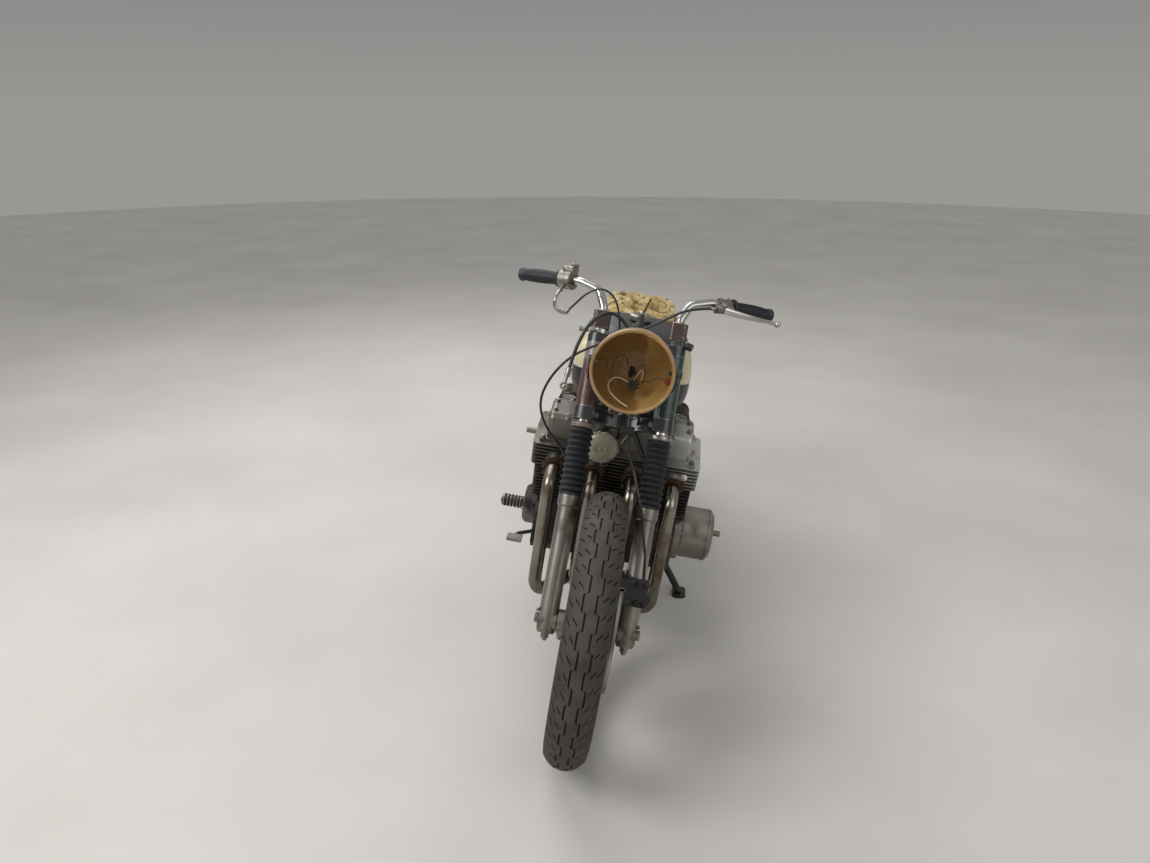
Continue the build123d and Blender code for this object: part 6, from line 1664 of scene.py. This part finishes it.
# %% Silencer bands and peg ribs
SILENCER_BAND = [(43.4, -9), (45.6, -9), (45.6, 9), (43.4, 9), (43.4, -9)]
SILENCER_ALONG = (0, 1, 0.14)
PEG_RIB, RIBS_A_PEG, RIB_PITCH = [(17, 0), (20.4, 1.2), (20.4, 6), (17, 7.2)], 9, 11
parts = []
for at in (Vector((-196, 1018, 205)), Vector((-196, 1300, 244.5))):
    parts.append(turned(SILENCER_BAND, at, SILENCER_ALONG, steps=56))
    parts.append(hexagon(at + Vector((0, 0, 47)), (0, 0, 1), 11, 6, washer=7))
piece(gather(parts), "silencer_bands", STEEL, "chassis", "steel")
parts = []
for side in (1, -1):
    for number in range(RIBS_A_PEG):
        out = 232 + number * RIB_PITCH
        parts.append(turned(PEG_RIB, (side * out, 705, 280), (side, 0, 0), steps=32))
piece(gather(parts), "peg_ribs", RUBBER, "chassis", "rubber")

# %% [markdown]
# ## Wires under the lamp
# The dash wiring was cut loose: a taped bundle runs from the bucket past the lower yoke to the frame,
# with a few thin leads round it. Like the control cables they cross the steering, so they are meshed
# the same way and ride on no body.

# %% Loom
LOOM = {
    "loom_main": (6.5, CABLE_BLACK, [
        (-4, 330, 700), (-2, 312, 730), (4, 296, 770), (6, 268, 808), (-6, 240, 838), (-4, 222, 880),
        (0, 220, 930)]),
    "loom_left": (3.0, PLASTIC_BLACK, [
        (16, 332, 690), (24, 306, 716), (34, 282, 748), (40, 252, 786), (30, 228, 822), (16, 216, 868),
        (8, 222, 920)]),
    "loom_right": (2.4, BROWN_LEAD, [
        (-24, 330, 706), (-32, 300, 738), (-26, 270, 776), (-34, 244, 812), (-22, 226, 850),
        (-10, 222, 910)]),
    "loom_green": (1.6, PALE_LEAD, [
        (6, 334, 684), (12, 316, 704), (20, 300, 730), (12, 282, 762), (20, 258, 796), (10, 236, 836),
        (6, 224, 900)]),
}
for name, (radius, material, route) in LOOM.items():
    bending(name, route, radius, material)
print(len(LOOM), "lines in the loom")

# %% [markdown]
# ## Torn seat foam
# The seat's cover is gone. What is left is a block of old ochre foam, picked at and torn, lower at
# the front edge and lumpy on top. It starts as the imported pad, is remeshed into an even skin, and
# every point then moves: big lumps first, torn pits next, open cells last. A smooth cushion would
# be a new seat.

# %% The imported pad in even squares
FOAM_GRID, FOAM_RELAX = 4.0, 6
pad = frame["nodes"]["seat_foam"]
pad_mesh = pad.data.copy()
pad_mesh.transform(STAND.inverted() @ pad.matrix_world)
pad_mesh.materials.clear()
even = remeshed(pad_mesh, FOAM_GRID)
shape = bmesh.new()
shape.from_mesh(even)
relax(shape, shape.verts, FOAM_RELAX)
print("pad", len(shape.faces), "squares")

# %% Lumps, pits and open cells
PAD_HALF, PAD_FRONT, FRONT_WORN = 134, 914, 90
MOST_LOST, SIDE_SHARE, TOP_FROM = 46.0, 0.35, 60
low = min(vert.co.z for vert in shape.verts)
torn = shape.verts.layers.float.new("torn")
for vert in shape.verts:
    here = vert.co.copy()
    free = min(1.0, max(0.0, (here.z - low - 4) / 30))
    side = abs(here.x) / PAD_HALF
    lump = noise.fractal(here * 0.014, 0.8, 2.1, 4)
    crumb = noise.fractal(here * 0.11 + Vector((7, 3, 1)), 0.4, 2.1, 5)
    rip = noise.noise(here * 0.023 + Vector((3, 9, 4)))
    pit = max(0.0, rip - 0.12) * 60 + max(0.0, -rip - 0.34) * 44
    front = max(0.0, 1 - (here.y - PAD_FRONT) / FRONT_WORN) * 16
    edge = max(0.0, side - 0.62) ** 2 * 120
    drop = 5 + min(26.0, pit) + front + edge - 6 * lump - 2.6 * crumb
    vert.co.z -= free * max(0.0, min(MOST_LOST, drop)) * (1 if here.z > low + TOP_FROM else SIDE_SHARE)
    vert.co -= vert.normal * free * (3.4 + 3.4 * crumb)
    vert[torn] = min(1.0, max(0.0, pit / 18 + 0.5 * crumb))
bmesh.ops.recalc_face_normals(shape, faces=shape.faces)
shape.transform(STAND)
shape.to_mesh(even)
shape.free()
even.shade_smooth()
foam = add_object("torn_foam", even)
print("foam", len(even.polygons), "faces")

# %% Its colour, and where it rides
FOAM, tree, shader = new_material("old_foam")
broad = clouds(tree, 11.0, 7.0, 0.6)
skin = ramp(tree, broad, [(0.3, "#8f7040"), (0.42, "#bda066"), (0.55, "#d8c18b"), (0.7, "#e7d9b0")])
cells = node(tree, "TexVoronoi", {"Vector": spot_on(tree), "Scale": 420.0}).outputs["Distance"]
pit_shade = node(tree, "Attribute", attribute_name="torn").outputs["Fac"]
speck = spread(tree, clouds(tree, 70.0, 6.0, 0.7), 0.52, 0.59)
stained = use(tree, GRIME, {"Scale": 8.0, "Cover": 0.2})["Mask"]
# The torn pits are darkened as painted shade; the specks and the stains are the foam's own marks.
for mask, share, shade in ((speck, 0.78, "#3d2b14"), (pit_shade, 0.6, "#5d431f"), (stained, 0.6, "#5d4020")):
    skin = blend(tree, times(tree, mask, share), skin, colour(shade))
tree.links.new(skin, shader.inputs["Base Color"])
shader.inputs["Roughness"].default_value = 0.95
bump(tree, shader, plus(tree, cells, broad, 0.8), 0.9, 0.004)
even.materials.append(FOAM)
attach(foam, "chassis")
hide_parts("seat_foam")
print("foam dressed in", FOAM.name)

# %% [markdown]
# ## Measuring up
# The last look is at the box: the dressed machine has to fill the same space as the imported one. Its
# box is printed.

# %% Sizes
low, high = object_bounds()
print("dressed", [round(value, 3) for value in (*low, *high)])
